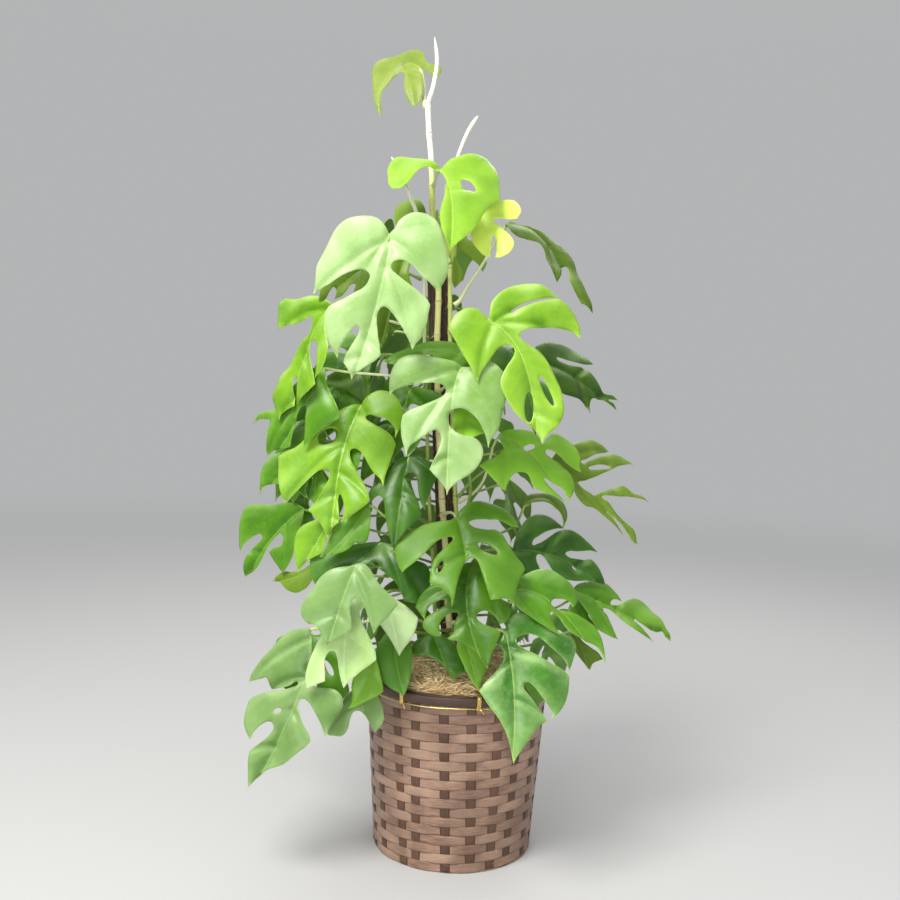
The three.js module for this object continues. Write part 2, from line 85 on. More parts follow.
  { name: 'leaf_30', tone: 'deep', at: [68.18, -75, 432.1], along: [0.9182, 0.2398, -0.3153], face: [0.3668, -0.8151, 0.4483], length: 145, width: 68.8, droop: [10, 12, 0], outline: [0, 0, 2.7, 28.8, 14.4, 56.7, 33.9, 73.7, 46.9, 76.4, 75.3, 66.6, 43.2, 45.4, 27.6, 21.2, 74.8, 64.3, 95.9, 67.4, 132.4, 48.7, 85.2, 31.9, 80.2, 26.1, 97.4, 24.5, 123, 33.7, 150.9, 4.5, 88.4, -11.6, 65, -6.9, 41.8, 12.1, 37.2, 7.8, 44.2, -21.6, 40.5, -38.4, 17.5, -26.2], holes: [], petiole: [[1.3, -19, 416.4], [17.4, -25.8, 421.9], [33.1, -34.3, 426.4], [47.7, -44.8, 429.6], [60.1, -58.2, 431.2], [72.7, -72.9, 431.5]] },
  { name: 'leaf_31', tone: 'mid', at: [16.51, -130.38, 425.5], along: [0.1414, -0.5395, -0.83], face: [0, -0.8384, 0.545], length: 143.2, width: 81, droop: [12, 10, 0], outline: [0, 0, 0.2, -11.8, 26.1, -58.7, 50.3, -80.9, 69.2, -71, 53.7, -63.3, 49.3, -40.8, 54.2, -42.1, 67.9, -70, 83.3, -71.8, 93.6, -51.7, 76.1, -51.6, 66.3, -35.6, 67.6, -28.1, 90.3, -35.8, 98.2, -45.2, 110.9, -17.5, 140.2, 0.8, 97.2, 22.9, 74.2, -5, 67.6, 5.1, 70.3, 12.5, 86.4, 23.4, 84.4, 31.3, 67.3, 39.7, 59.2, 37.1, 50.7, 20, 15.2, 12], holes: [], petiole: [[-16.4, -32.5, 398.8], [-3.9, -49.2, 405.8], [6.7, -67.6, 411.1], [14.1, -87.9, 414.7], [17.1, -109.3, 418.2], [16, -132.8, 421.2]] },
  { name: 'leaf_32', tone: 'pale', at: [-131.91, -170, 424.91], along: [-0.2764, -0.4075, -0.8703], face: [-0.0891, -0.8909, 0.4454], length: 109.5, width: 68.7, droop: [10, 12, 0], outline: [0, 0, 26, -36, 72.7, -49.6, 86.8, -41, 88.9, -24.6, 108, -2.7, 81.5, 21.7, 59.4, 12.7, 44.6, 12.3, 44.2, 22.8, 77.7, 49.9, 33.5, 66.3, 1.7, 17.6], holes: [], petiole: [[-25.6, -32.1, 400], [-49.9, -58.5, 402.5], [-73.4, -85.9, 399.7], [-95.9, -114.3, 399.2], [-116.3, -143.1, 406.2], [-133.4, -171.7, 420.5]] },
  { name: 'leaf_33', tone: 'olive', at: [-198.75, -57.9, 403.77], along: [-0.9083, 0.0752, -0.4116], face: [-0.3114, -0.7785, 0.5449], length: 67.3, width: 33.8, droop: [5, 6, 0], outline: [0, 0, 24.9, 1, 60.4, -7.7, 70.6, -3.3, 60, 2.9, 47.4, 24.5, 28.7, 31.2, 1.9, 16.7], holes: [], petiole: [[-44.1, -14.6, 387.2], [-75.7, -18.7, 400.1], [-109.9, -22.9, 398.3], [-142.8, -28.9, 389.6], [-175.1, -40.3, 386.4], [-202.8, -58, 400.8]] },
  { name: 'leaf_34', tone: 'mid', at: [71.42, -151.6, 394.94], along: [0.794, -0.0834, -0.6022], face: [0.2875, -0.8213, 0.4928], length: 146.4, width: 57.3, droop: [10, 12, 0], outline: [0, 0, -3.4, 24.4, 8.6, 49.3, 26.4, 63.8, 48.7, 66.2, 67.5, 59.5, 73.9, 42.3, 72.5, 35.8, 66.5, 38.8, 51.5, 31.8, 45.5, 24.4, 47.4, 18.5, 111.2, 37.7, 126.1, 30, 148.9, 5.8, 125.5, 15.3, 85.5, 4.5, 58.2, 9.6, 52.1, 7.2, 56, 2.1, 80, -7, 20.2, -18.8, 8.7, -16.8], holes: [], petiole: [[1.2, -22.4, 382.3], [14.3, -48.5, 387.9], [30.8, -73.2, 390.5], [48.5, -97.2, 390.7], [63.6, -122.8, 391], [76, -150.7, 393.1]] },
  { name: 'leaf_35', tone: 'pale', at: [-101.22, -125, 380.32], along: [0.2972, -0.3015, -0.906], face: [-0.0953, -0.9535, 0.286], length: 85.4, width: 36.5, droop: [6, 6, 0], outline: [0, 0, 15.6, -16.4, 27.6, -16.8, 84.9, -0.8, 63.1, 25.6, 44.5, 35.8], holes: [], petiole: [[-23, -33.1, 362.9], [-39.5, -49.7, 370.1], [-56.2, -67, 374.9], [-72.6, -85, 377.6], [-87.8, -104.1, 378.9], [-99.5, -126.2, 375.8]] },
  { name: 'leaf_36', tone: 'mid', at: [154.33, -50, 378.68], along: [0.8516, 0.2909, -0.4361], face: [0.4975, -0.7107, 0.4975], length: 176.7, width: 42.2, droop: [10, 8, 0], outline: [0, 0, 7.1, 12.6, 35.1, 31.7, 58.2, 36.5, 78.2, 29.6, 86.1, 23.3, 67.8, 15.6, 67.2, 10.5, 74.5, 11.5, 113.4, 43.2, 126.5, 46.7, 166.1, 27.5, 186.3, 7.6, 166.9, 13.1, 146.1, 5.4, 112.2, 7.2, 154.1, -9.8, 125, -11.9, 69.1, 0.9, 57.6, -1.4, 54.4, -3.9, 89.3, -35.1, 77.3, -37.3, 54.3, -36, 7, -9.4], holes: [], petiole: [[8.6, -14.9, 336.2], [41, -4.1, 343.7], [75.7, -1.3, 348.3], [109.9, -6.3, 353.8], [139.2, -22.3, 363.4], [158.5, -48.1, 376.6]] },
  { name: 'leaf_37', tone: 'palebright', at: [-139.62, -145, 377.46], along: [-0.0212, -0.4085, -0.9125], face: [-0.0908, -0.9082, 0.4087], length: 117.1, width: 48.6, droop: [8, 10, 0], outline: [0, 0, 8.2, -9.8, 62.3, -41.2, 89.8, -50.8, 117.7, -50, 108.9, -25.4, 84.9, -28.2, 71.4, -21.1, 79.6, -12, 116.1, -1.6, 79.3, 37.5, 18.3, 12.9, 16.9, 23.5, 35.1, 35, 22.2, 35.9, 2.7, 21], holes: [], petiole: [[-39.8, -18.3, 361.1], [-55.9, -45.4, 369.9], [-75.6, -71.5, 370.4], [-97.4, -95.9, 367.8], [-119.2, -120.2, 369.5], [-140, -146.7, 372.8]] },
  { name: 'leaf_38', tone: 'deepbright', at: [58.9, -161.72, 344.88], along: [0.0899, -0.325, -0.9414], face: [0.0471, -0.9428, 0.33], length: 162.9, width: 88.4, droop: [12, 14, 0], outline: [0, 0, 19.1, -8.5, 34.9, -3.9, 73.9, -37.2, 118.4, -9.6, 163.8, 1.2, 127.8, 28, 114.4, 47.1, 67.6, 19, 71, 31.2, 90.6, 45.4, 107, 54.3, 113.7, 49.5, 92.3, 71.9, 59.9, 79.6, 13.4, 12.3, 6.2, 27.9, 8.2, 38.2, 39.7, 73.4, 54.9, 80, 26.5, 90.7, 14.8, 88.3, -18.8, 28.5, -20.9, 16.9], holes: [], petiole: [[-10.7, -36.2, 322.5], [2.3, -60.8, 331], [16.1, -85.9, 335.7], [30.2, -111.2, 338.4], [44.5, -136.5, 340.5], [59.8, -163, 340.1]] },
  { name: 'leaf_39', tone: 'pale', at: [-196.37, -130, 329.85], along: [-0.302, -0.219, -0.9278], face: [-0.3137, -0.8962, 0.3137], length: 212.6, width: 86.6, droop: [12, 10, 4], outline: [0, 0, 17.4, -27.1, 85, -58.8, 93.5, -58.5, 79.1, -31.7, 90.4, -20.4, 71.2, 12.1, 114.4, -47.1, 143.9, -42.8, 160.1, -24.8, 133.9, -14.4, 128.8, -1.7, 133.3, 2.1, 149.4, -3.5, 172.5, -21, 216, -6.3, 187.4, 9.6, 161.7, 38.9, 132.5, 55.6, 103.9, 30, 89, 23.6, 85.7, 28.8, 92.2, 45.4, 120.1, 72.8, 75, 82.9, 65, 77.8, 60.1, 67.9, 64.9, 31.2], holes: [[108.2, 4.8, 111.1, 4.9, 114.3, 1.6, 114.8, -3.8, 111.9, -3.9, 108.7, -0.6]], petiole: [[-34.7, -18.1, 312], [-60.5, -45.2, 327.7], [-90.6, -71.5, 334.5], [-123.5, -95.1, 333.6], [-158.6, -115.1, 329], [-196.7, -131.2, 325]] },
  { name: 'leaf_40', tone: 'olive', at: [154.1, -60, 327.84], along: [0.405, -0.4396, -0.8017], face: [0.2387, -0.7956, 0.5569], length: 61.7, width: 24.9, droop: [5, 5, 0], outline: [0, 0, 26.7, -9.4, 61.4, 2.3, 55, 9.2, 52.9, 28.1], holes: [], petiole: [[18.7, -21.5, 280.1], [46.6, -31.4, 285.8], [74.9, -39.5, 291.8], [103.1, -46.9, 299.5], [130.4, -53.7, 310.3], [156.5, -61.7, 323.8]] },
  { name: 'leaf_41', tone: 'deep', at: [-86.67, -102.02, 327.82], along: [0.2067, -0.454, -0.8667], face: [-0.0891, -0.8909, 0.4454], length: 90, width: 30.6, droop: [6, 8, 0], outline: [0, 0, 11.7, -19.7, 22.3, -26.9, 47.9, -31.4, 74.2, -19.8, 89.2, -0.7, 65.2, 12.4, 33.2, 19.1, 20.2, 17.1], holes: [], petiole: [[-15.3, -36.4, 304.4], [-28.8, -50.4, 308.8], [-43.1, -63.7, 313], [-58, -76.2, 317.1], [-73.1, -88.4, 321.7], [-86, -104, 323.3]] },
  { name: 'leaf_42', tone: 'mid', at: [7.12, -110, 325.38], along: [0.2714, -0.4952, -0.8253], face: [0, -0.8575, 0.5145], length: 76.9, width: 18.7, droop: [6, 6, 0], outline: [0, 0, 12.7, -13.2, 25.7, -13.5, 75.5, 0.5, 49.8, 18.5, 38.5, 19], holes: [], petiole: [[-9.9, -37.2, 313], [-4.7, -50.8, 317.8], [0.5, -65.1, 319.8], [4.6, -79.9, 319.5], [6.8, -95.1, 320.4], [8.6, -112.2, 321.1]] },
  { name: 'leaf_43', tone: 'deep', at: [-35.91, -93.24, 322.4], along: [0.3985, -0.5503, -0.7337], face: [0, -0.8, 0.6], length: 73, width: 35.5, droop: [6, 8, 0], outline: [0, 0, 2.6, -22.5, 17.7, -34.8, 47.1, -2.2, 71, 0.8, 66, 22.1, 33.2, 24.6], holes: [], petiole: [[-15, -37, 311.4], [-20.4, -47.7, 314.6], [-25.9, -58.6, 316.6], [-31.1, -69.8, 317.2], [-34.8, -81.5, 317.8], [-33.9, -95.7, 318.6]] },
  { name: 'leaf_44', tone: 'mid', at: [-110.53, -122.54, 295.56], along: [-0.389, -0.3806, -0.839], face: [-0.0891, -0.8909, 0.4454], length: 76.2, width: 33, droop: [6, 7, 0], outline: [0, 0, 10.2, -6.8, 36.4, -11.5, 76.1, -1.3, 36.9, 31.8], holes: [], petiole: [[-30.2, -17.3, 284.1], [-55.6, -31.2, 291.1], [-80, -47.9, 294.4], [-101.7, -68.3, 294.2], [-115.8, -94.1, 292], [-111.8, -124.3, 291.1]] },
  { name: 'leaf_45', tone: 'pale', at: [-123.02, -95, 268.83], along: [0.2175, -0.5181, -0.8272], face: [-0.0854, -0.8544, 0.5126], length: 84.8, width: 61.8, droop: [6, 7, 0], outline: [0, 0, 45.1, -47.9, 73.5, -63.6, 80.4, -45.9, 77.4, -38.5, 53.2, -24.2, 58.9, -11.5, 84, -0.8, 71.6, 13.6, 49, 13.9, 27.3, 2.2], holes: [], petiole: [[-10.6, -33, 269.9], [-35.4, -32.7, 283.1], [-61.6, -40.4, 287.2], [-82, -57.9, 279.1], [-101.3, -76.9, 271.5], [-123.2, -97.3, 264.4]] },
];

// side shoots behind the pole, each with its leaves
const SIDE_SHOOTS = [
  { name: 'side_shoot_low', path: [[-5.7, 39.4, 274.2], [-3.7, 49.2, 288.7], [-4.8, 52.6, 309.1], [-4.9, 53.8, 329.1], [-10.2, 51.3, 348.1], [-13.9, 50.7, 367.7], [-14.3, 52.9, 388]], leaves: [
    { name: 'B01', tone: 'back', at: [69.46, 39.96, 404], along: [0.3034, 0.2727, -0.913], face: [0.8548, 0.3454, 0.3872], length: 149, width: 91.3, droop: [12, 12, 0], outline: [0, 0, -16.2, 9, -25, 24.6, -24.5, 62.7, -1.2, 85.1, -5, 41.8, -0.1, 26.3, -0.3, 85.4, 24.6, 96.5, 51.4, 90.4, 38.3, 81.1, 29.3, 62, 26.5, 26.1, 67.6, 43.6, 109.4, 43.6, 127.6, 35.9, 147.3, 3.8, 132.5, 3.4, 102.3, -13.5, 75.3, -16.7, 40.9, 13.3, 33.9, -0.7, 62.6, -36.9, 4.6, -45.5, -8.7, -41.5, -18.1, -22, -13.3, -8.4], holes: [[112.5, 31.6, 106.3, 28.4, 91.6, 26.3, 77.4, 28.3, 83.7, 31.5, 98.5, 33.5], [120.6, -0.9, 113.4, -2.5, 99.9, 1.8, 89.5, 11.9, 96.8, 13.6, 110.3, 9.1]], petiole: [[-14.4, 51.9, 379.8], [-9.1, 51.9, 379.9], [6.4, 50.8, 385.6], [22, 47.8, 390.5], [37.5, 44, 394.9], [53.3, 41, 399.2], [70, 42.5, 399.7]] },
    { name: 'B02', tone: 'back', at: [37.03, 130.07, 398], along: [0.2521, 0.3093, -0.9169], face: [0.375, 0.8423, 0.3872], length: 182, width: 88.4, droop: [13.3, 11.4, 0], outline: [0, 0, -20.3, -17.9, -19.3, -37.8, -4, -52.7, 17.9, -57.7, 39.8, -53.8, 21.2, -45.3, 16.2, -9.8, 34.2, -44.2, 48, -56.4, 103.9, -52.1, 66.9, -17.8, 63.2, -1.3, 123.7, -38.5, 156.1, -7, 140.5, -10.1, 120.6, 0.9, 155.7, -5.5, 178.9, 4.1, 144.9, 37.5, 122.4, 24.4, 96.5, 19.4, 94.9, 32.8, 140.8, 70.2, 81.2, 94.1, 59.8, 65, 10.6, 23.1], holes: [[39.4, 22.4, 48.5, 20.9, 58.3, 28.3, 59.5, 43.2, 50.4, 44.8, 40.6, 37.3]], petiole: [[-4.7, 52.8, 311.1], [-0.4, 55.8, 310.6], [14.7, 65.3, 331.9], [32.5, 76.3, 350.1], [49.7, 91, 366.1], [51.7, 112, 382.6], [37.7, 131.6, 393.3]] },
    { name: 'B03', tone: 'back', at: [-57.08, 107.84, 345], along: [-0.2094, 0.332, -0.9197], face: [-0.3454, 0.8548, 0.3872], length: 135.4, width: 75.7, droop: [12.6, 12.6, 0], outline: [0, 0, 6.4, -7.9, 9.9, -45.9, 23.3, -73.9, 65.3, -69.4, 32.8, -22.3, 30.5, -7.8, 54.8, -29.6, 84.5, -40.2, 98.9, -22.6, 116.8, -19, 67.5, 0.2, 59.2, 13.6, 112.6, 25.4, 114.2, 45.2, 126.6, 49.5, 69.8, 68.6, 29.7, 50.6, 12.6, 13.8, 7.5, 38.9, 19.5, 72.3, 9, 71.3, -6.4, 60.3, -18, 31.7], holes: [[57.7, 40.5, 57.2, 34.8, 50.4, 25.9, 40, 20.7, 40.7, 26.5, 47.5, 35.4], [60.6, -21.7, 64.8, -21.8, 71.1, -25.4, 74.6, -31.2, 70.5, -31.1, 64.3, -27.5]], petiole: [[-5.1, 53.7, 331], [-9.8, 56, 330], [-22.1, 63.2, 332.5], [-33, 72.8, 334.3], [-42.2, 83.7, 336.8], [-50.1, 95.5, 340.3], [-58.4, 109.1, 340.3]] },
    { name: 'B04', tone: 'back', at: [-131.26, 44.36, 415], along: [-0.3127, 0.2619, -0.913], face: [-0.8664, 0.3153, 0.3872], length: 140.5, width: 73.9, droop: [10.2, 11.9, 0], outline: [0, 0, -8.9, -32.8, 14.1, -51.3, 84.3, -37.5, 51.6, -16.5, 46.5, -2.1, 52.5, 7.1, 67.2, 3.9, 77.5, -26.3, 89.2, -32.7, 104.3, -28.9, 138.6, -0.2, 113.9, 20.8, 75.1, 14.7, 74, 23, 91, 43, 104.2, 45.8, 78.9, 55, 60.2, 55.7, 37.4, 20.1, 24.4, 16, 27, 54.1, 40.4, 71.9, 21.7, 74.5, 4.1, 71, -5.3, 59.3], holes: [], petiole: [[-14.4, 52.4, 383.9], [-19.6, 51.7, 385], [-41.4, 48.8, 392.3], [-63.6, 47.1, 398.9], [-86, 47, 404.6], [-108.7, 47.3, 409.4], [-132.8, 45, 410.3]] },
    { name: 'B19', tone: 'back', at: [69.56, -21.36, 395], along: [0.399, -0.0057, -0.9169], face: [0.8863, -0.2541, 0.3872], length: 99.7, width: 53.6, droop: [9.6, 8, 0], outline: [0, 0, 14.5, 9.6, 9, 43.6, 46.8, 42.7, 40.9, 28.1, 44.6, 14.7, 67.5, 15.2, 106, -0.5, 66.1, -0.1, 80.9, -7.6, 100.2, -6.1, 90.2, -26.5, 48.6, -23.7, 51.9, -31.8, 89.5, -43.1, 63.9, -64, 40.4, -53.5, 38.3, -29.7, 24.1, -32.8, 16.2, -27.4], holes: [[35.8, -19.6, 36, -15.8, 33.4, -11, 28.6, -9.3, 28.3, -13, 31, -17.8]], petiole: [[-14.3, 51.2, 373.7], [-10.6, 47.4, 374], [4, 32.2, 378.7], [19.4, 17.6, 382.2], [35.9, 3.9, 384.6], [52.9, -8.7, 388.5], [70.9, -22.6, 390.3]] },
    { name: 'B22', tone: 'back', at: [-112.33, -23.01, 385], along: [-0.399, -0.0057, -0.9169], face: [-0.8863, -0.2541, 0.3872], length: 99.7, width: 53.6, droop: [9.6, 8, 0], outline: [0, 0, 16.2, 27.4, 24.1, 32.8, 38.3, 29.7, 40.4, 53.5, 63.9, 64, 89.5, 43.1, 51.9, 31.8, 48.6, 23.7, 90.2, 26.5, 100.2, 6.1, 80.9, 7.6, 66.1, 0.1, 106, 0.5, 67.5, -15.2, 44.6, -14.7, 40.9, -28.1, 46.8, -42.7, 9, -43.6, 14.5, -9.6], holes: [[35.8, 19.6, 36, 15.8, 33.4, 11, 28.6, 9.3, 28.3, 13, 31, 17.8]], petiole: [[-13.8, 50.6, 365.7], [-18.3, 47.8, 365.5], [-38.5, 36.2, 372.1], [-59.7, 25.5, 376.6], [-80.3, 13, 378.5], [-97.4, -4, 380.9], [-113.7, -24.3, 380.3]] },
    { name: 'B24', tone: 'back', at: [-185.25, -85.78, 314.47], along: [-0.2459, -0.4256, -0.8709], face: [-0.3357, -0.8054, 0.4884], length: 123.1, width: 68.8, droop: [11.5, 11.5, 0], outline: [0, 0, 21.2, -67.2, 59.4, -63.1, 29.8, -20.2, 27.7, -7.1, 49.8, -27, 76.9, -36.6, 90, -20.6, 106.2, -17.3, 61.4, 0.2, 53.9, 12.3, 102.4, 23.1, 103.9, 41.1, 115.1, 45.1, 63.5, 62.4, 27, 46, 11.4, 12.6, 6.9, 35.4, 17.7, 65.7, 8.2, 64.9, -5.8, 54.9, -16.4, 28.8], holes: [[52.5, 36.9, 52, 31.6, 45.9, 23.6, 36.3, 18.9, 37, 24.1, 43.2, 32.2], [55.1, -19.7, 58.9, -19.8, 64.7, -23.1, 67.8, -28.4, 64.1, -28.3, 58.4, -25]], petiole: [[-4.8, 51.8, 302.9], [-9.6, 49.6, 304.2], [-48.2, 25.7, 302.2], [-81.9, -4.2, 295], [-114.1, -36.2, 290.3], [-148.8, -64.9, 296.2], [-186, -87.8, 310]] },
    { name: 'B28', tone: 'back', at: [119, -80.97, 353.16], along: [0.1968, 0.0506, -0.9791], face: [0.8179, -0.5592, 0.1355], length: 136.4, width: 76.3, droop: [12.7, 12.7, 0], outline: [0, 0, -18.2, -31.9, -6.4, -60.8, 9.1, -71.9, 19.7, -72.8, 7.6, -39.2, 12.7, -13.9, 30, -51, 70.4, -69.2, 127.6, -49.9, 115.1, -45.6, 113.5, -25.6, 59.7, -13.7, 68, -0.2, 117.7, 19.1, 99.7, 22.8, 85.2, 40.5, 55.2, 29.9, 30.7, 7.8, 33, 22.4, 65.8, 69.9, 23.5, 74.4, 9.9, 46.3, 6.4, 7.9], holes: [[58.1, -40.9, 57.6, -35.1, 50.8, -26.1, 40.3, -20.9, 41, -26.7, 47.9, -35.6], [61.1, 21.8, 65.3, 22, 71.6, 25.6, 75.2, 31.5, 71.1, 31.4, 64.8, 27.7]], petiole: [[-4.8, 51.8, 302.9], [0.1, 50, 304.2], [37.9, 33.7, 301.6], [74.2, 14.4, 304.3], [104.3, -11, 315.5], [119, -44.1, 334.5], [119.5, -80.9, 348.2]] },
    { name: 'B32', tone: 'back', at: [161.73, -20.95, 363.43], along: [0.4585, -0.4227, -0.7817], face: [0.3769, -0.7042, 0.6018], length: 68.5, width: 43, droop: [6.3, 7.5, 0], outline: [0, 0, 16.3, -22.6, 45.5, -31.1, 67.6, -1.7, 51, 13.6, 27.9, 7.7, 27.7, 14.3, 48.6, 31.2, 21, 41.5], holes: [], petiole: [[-4.7, 53.1, 313.1], [0.1, 50.7, 312.3], [32.8, 34.7, 320.4], [65.7, 18.2, 326.3], [98.8, 2.2, 332.4], [131.5, -11.7, 343.4], [163.8, -22.9, 359.3]] },
  ] },
  { name: 'side_shoot_mid', path: [[-17.6, 32.6, 431.7], [-15.9, 43.5, 450.7], [-16.9, 45.7, 476.1], [-19, 47.6, 500.7], [-24.4, 51.2, 525], [-27.4, 52.8, 549.8], [-28.5, 52.9, 575]], leaves: [
    { name: 'B05', tone: 'back', at: [46.43, 58.49, 560], along: [0.2555, 0.3065, -0.9169], face: [0.7552, 0.5288, 0.3872], length: 152.1, width: 80, droop: [11, 12.9, 0], outline: [0, 0, -5.8, -64.1, 4.4, -76.8, 23.5, -80.6, 43.7, -77.8, 29.2, -58.6, 26.4, -17.3, 40.5, -21.7, 65.1, -60.3, 85.4, -59.6, 112.8, -49.6, 98.5, -46.5, 80.1, -24.9, 81.3, -15.9, 123.3, -22.5, 150, 0.2, 112.9, 31.3, 96.6, 35.4, 83.9, 28.5, 72.7, -4.2, 56.8, -7.7, 50.3, 2.3, 55.8, 17.8, 91.2, 40.6, 69, 49.3, 15.2, 55.6, -9.6, 35.6], holes: [], petiole: [[-27.1, 52.6, 544.8], [-21.8, 52.8, 545.7], [-8.1, 53.1, 548.4], [5.6, 53.7, 550.8], [19.3, 54.6, 553.3], [32.8, 56.1, 556.2], [47.9, 59.3, 555.3]] },
    { name: 'B06', tone: 'back', at: [-12.46, 133.99, 612], along: [0.1528, 0.3648, -0.9185], face: [0.1601, 0.908, 0.3872], length: 154.8, width: 84, droop: [11.4, 13.3, 0], outline: [0, 0, -19.9, -16, -17.9, -27, 14.1, -83.9, 25.2, -86.2, 52.1, -76, 37.7, -69.8, 7.8, -36.3, 12.7, -11.7, 56.9, -75.6, 87.7, -68.3, 108, -47, 101.6, -51.6, 86.1, -43.1, 67.5, -29.7, 64.2, -18.1, 108.7, -44.7, 121.4, -26.6, 155.6, -1.1, 112.5, 9.1, 70.2, 35.4, 33.2, 3.7, 18.1, 8.1], holes: [], petiole: [[-28.5, 52.9, 572.5], [-28.2, 58.2, 572], [-27, 72.9, 581.2], [-24.8, 87.9, 589.9], [-21.4, 103, 597.9], [-17.2, 118.2, 605.2], [-11.3, 135.4, 607.3]] },
    { name: 'B07', tone: 'back', at: [-90.98, 88.14, 540], along: [-0.3109, 0.2501, -0.9169], face: [-0.5419, 0.7459, 0.3872], length: 155.9, width: 95.5, droop: [12.6, 12.6, 0], outline: [0, 0, -13.9, 8.8, -19, 23, -9.1, 43.4, 4.8, 47.6, 65.5, 38.7, 35.5, 0.7, 42.8, -13.9, 78.8, 17.5, 107, 14.1, 138.6, -3.6, 154.2, -4, 133.5, -37.6, 114.4, -45.7, 70.7, -45.6, 27.8, -27.4, 30.7, -64.9, 40.1, -84.8, 53.8, -94.6, 25.7, -101, -0.3, -89.3, -0.1, -27.5, -5.2, -43.7, -1.3, -89.1, -25.6, -65.6, -26.2, -25.7, -17, -9.4], holes: [[117.7, -33.1, 111.2, -29.7, 95.8, -27.5, 81, -29.6, 87.6, -33, 103, -35.1], [126.2, 0.9, 118.7, 2.7, 104.6, -1.9, 93.7, -12.5, 101.3, -14.2, 115.5, -9.5]], petiole: [[-25.7, 51.9, 532.4], [-30, 54.5, 531.2], [-42, 61.5, 533.8], [-54.4, 68.5, 534.5], [-66.8, 75.1, 533.9], [-79.4, 81.7, 534.4], [-91.1, 90, 535.4]] },
    { name: 'B08', tone: 'back', at: [-132.2, 24.38, 625], along: [-0.3461, 0.2159, -0.913], face: [-0.9018, 0.1917, 0.3872], length: 105.9, width: 57, droop: [10.2, 8.5, 0], outline: [0, 0, 17.2, 29.2, 25.6, 34.9, 40.7, 31.6, 43, 56.8, 67.9, 68, 95.1, 45.8, 55.2, 33.8, 51.7, 25.2, 95.8, 28.1, 106.5, 6.5, 85.9, 8.1, 70.2, 0.1, 112.7, 0.6, 71.7, -16.2, 47.4, -15.7, 43.4, -29.9, 49.7, -45.4, 9.5, -46.3, 15.4, -10.2], holes: [[38, 20.9, 38.3, 16.8, 35.4, 11.7, 30.3, 9.9, 30.1, 13.8, 32.9, 18.9]], petiole: [[-28.5, 52.9, 572.5], [-33.5, 51.3, 572], [-53.5, 45, 581.5], [-73.2, 38.9, 591.6], [-92.8, 33.4, 602.3], [-112.3, 28.5, 613.5], [-133.9, 24.1, 620.3]] },
    { name: 'B16', tone: 'back', at: [-45.23, 152.54, 468], along: [-0.002, 0.3902, -0.9207], face: [-0.1283, 0.913, 0.3872], length: 104, width: 65.3, droop: [9.5, 11.4, 0], outline: [0, 0, 24.7, -34.2, 69.1, -47.1, 82.4, -38.9, 84.5, -23.4, 102.6, -2.6, 77.5, 20.7, 42.3, 11.7, 42, 21.7, 73.8, 47.4, 31.8, 63, 1.6, 16.7], holes: [], petiole: [[-16.7, 44.8, 460.9], [-17.5, 50.2, 461.7], [-21.1, 70.9, 464.9], [-26.3, 91.5, 465.1], [-32.6, 111.7, 464.6], [-39, 132, 465.4], [-45, 154.2, 463.3]] },
    { name: 'B17', tone: 'back', at: [54.42, -10.59, 520], along: [0.3974, 0.0361, -0.9169], face: [0.908, -0.1601, 0.3872], length: 121.4, width: 60.8, droop: [10.2, 8.5, 0], outline: [0, 0, 37.4, -54.9, 88.8, -32.6, 49.8, -11.2, 51, -2.8, 97.9, -13.4, 124.2, 9.7, 87.6, 29, 107.3, 59.1, 88.6, 52.6, 73, 31.3, 17.5, 13.8], holes: [], petiole: [[-17.8, 46.7, 493.3], [-13.2, 44.2, 493.8], [2, 35.1, 497.9], [16.1, 24.5, 502.3], [28.9, 12.7, 507.5], [41.4, 0.8, 513.4], [56, -10.9, 515.3]] },
    { name: 'B20', tone: 'back', at: [-122.85, -12.67, 520], along: [-0.3974, 0.0361, -0.9169], face: [-0.908, -0.1601, 0.3872], length: 121.4, width: 60.8, droop: [10.2, 8.5, 0], outline: [0, 0, 17.5, -13.8, 73, -31.3, 88.6, -52.6, 107.3, -59.1, 87.6, -29, 124.2, -9.7, 97.9, 13.4, 51, 2.8, 49.8, 11.2, 88.8, 32.6, 37.4, 54.9], holes: [], petiole: [[-21.8, 49.5, 512.8], [-25.7, 46.1, 511.7], [-43.8, 32.7, 515.7], [-63.2, 20.7, 518], [-83.6, 10.4, 518.2], [-104.4, 0.8, 517.1], [-124.5, -13, 515.3]] },
    { name: 'B23', tone: 'back', at: [-231.76, -4.64, 554.94], along: [-0.0183, -0.1008, -0.9947], face: [-0.2311, -0.9675, 0.1023], length: 131.6, width: 63.9, droop: [9.6, 8.2, 0], outline: [0, 0, -14.7, -12.9, -13.9, -27.3, -2.9, -38.1, 12.9, -41.7, 28.7, -38.9, 15.3, -32.7, 11.7, -7.1, 34.7, -40.8, 75.1, -37.6, 48.4, -12.9, 45.7, -0.9, 89.4, -27.8, 112.8, -5, 101.6, -7.3, 87.2, 0.7, 112.5, -4, 129.3, 3, 104.7, 27.1, 69.8, 14, 68.6, 23.7, 101.8, 50.8, 58.7, 68, 7.6, 16.7], holes: [[28.5, 16.2, 35.1, 15.1, 42.2, 20.5, 43, 31.3, 36.4, 32.4, 29.3, 26.9]], petiole: [[-17, 46, 483.5], [-22.3, 46.5, 483.7], [-68.7, 46.8, 486.4], [-113.8, 39.7, 495.6], [-156, 27.1, 510.8], [-195.1, 11.8, 530.9], [-231.2, -5, 550]] },
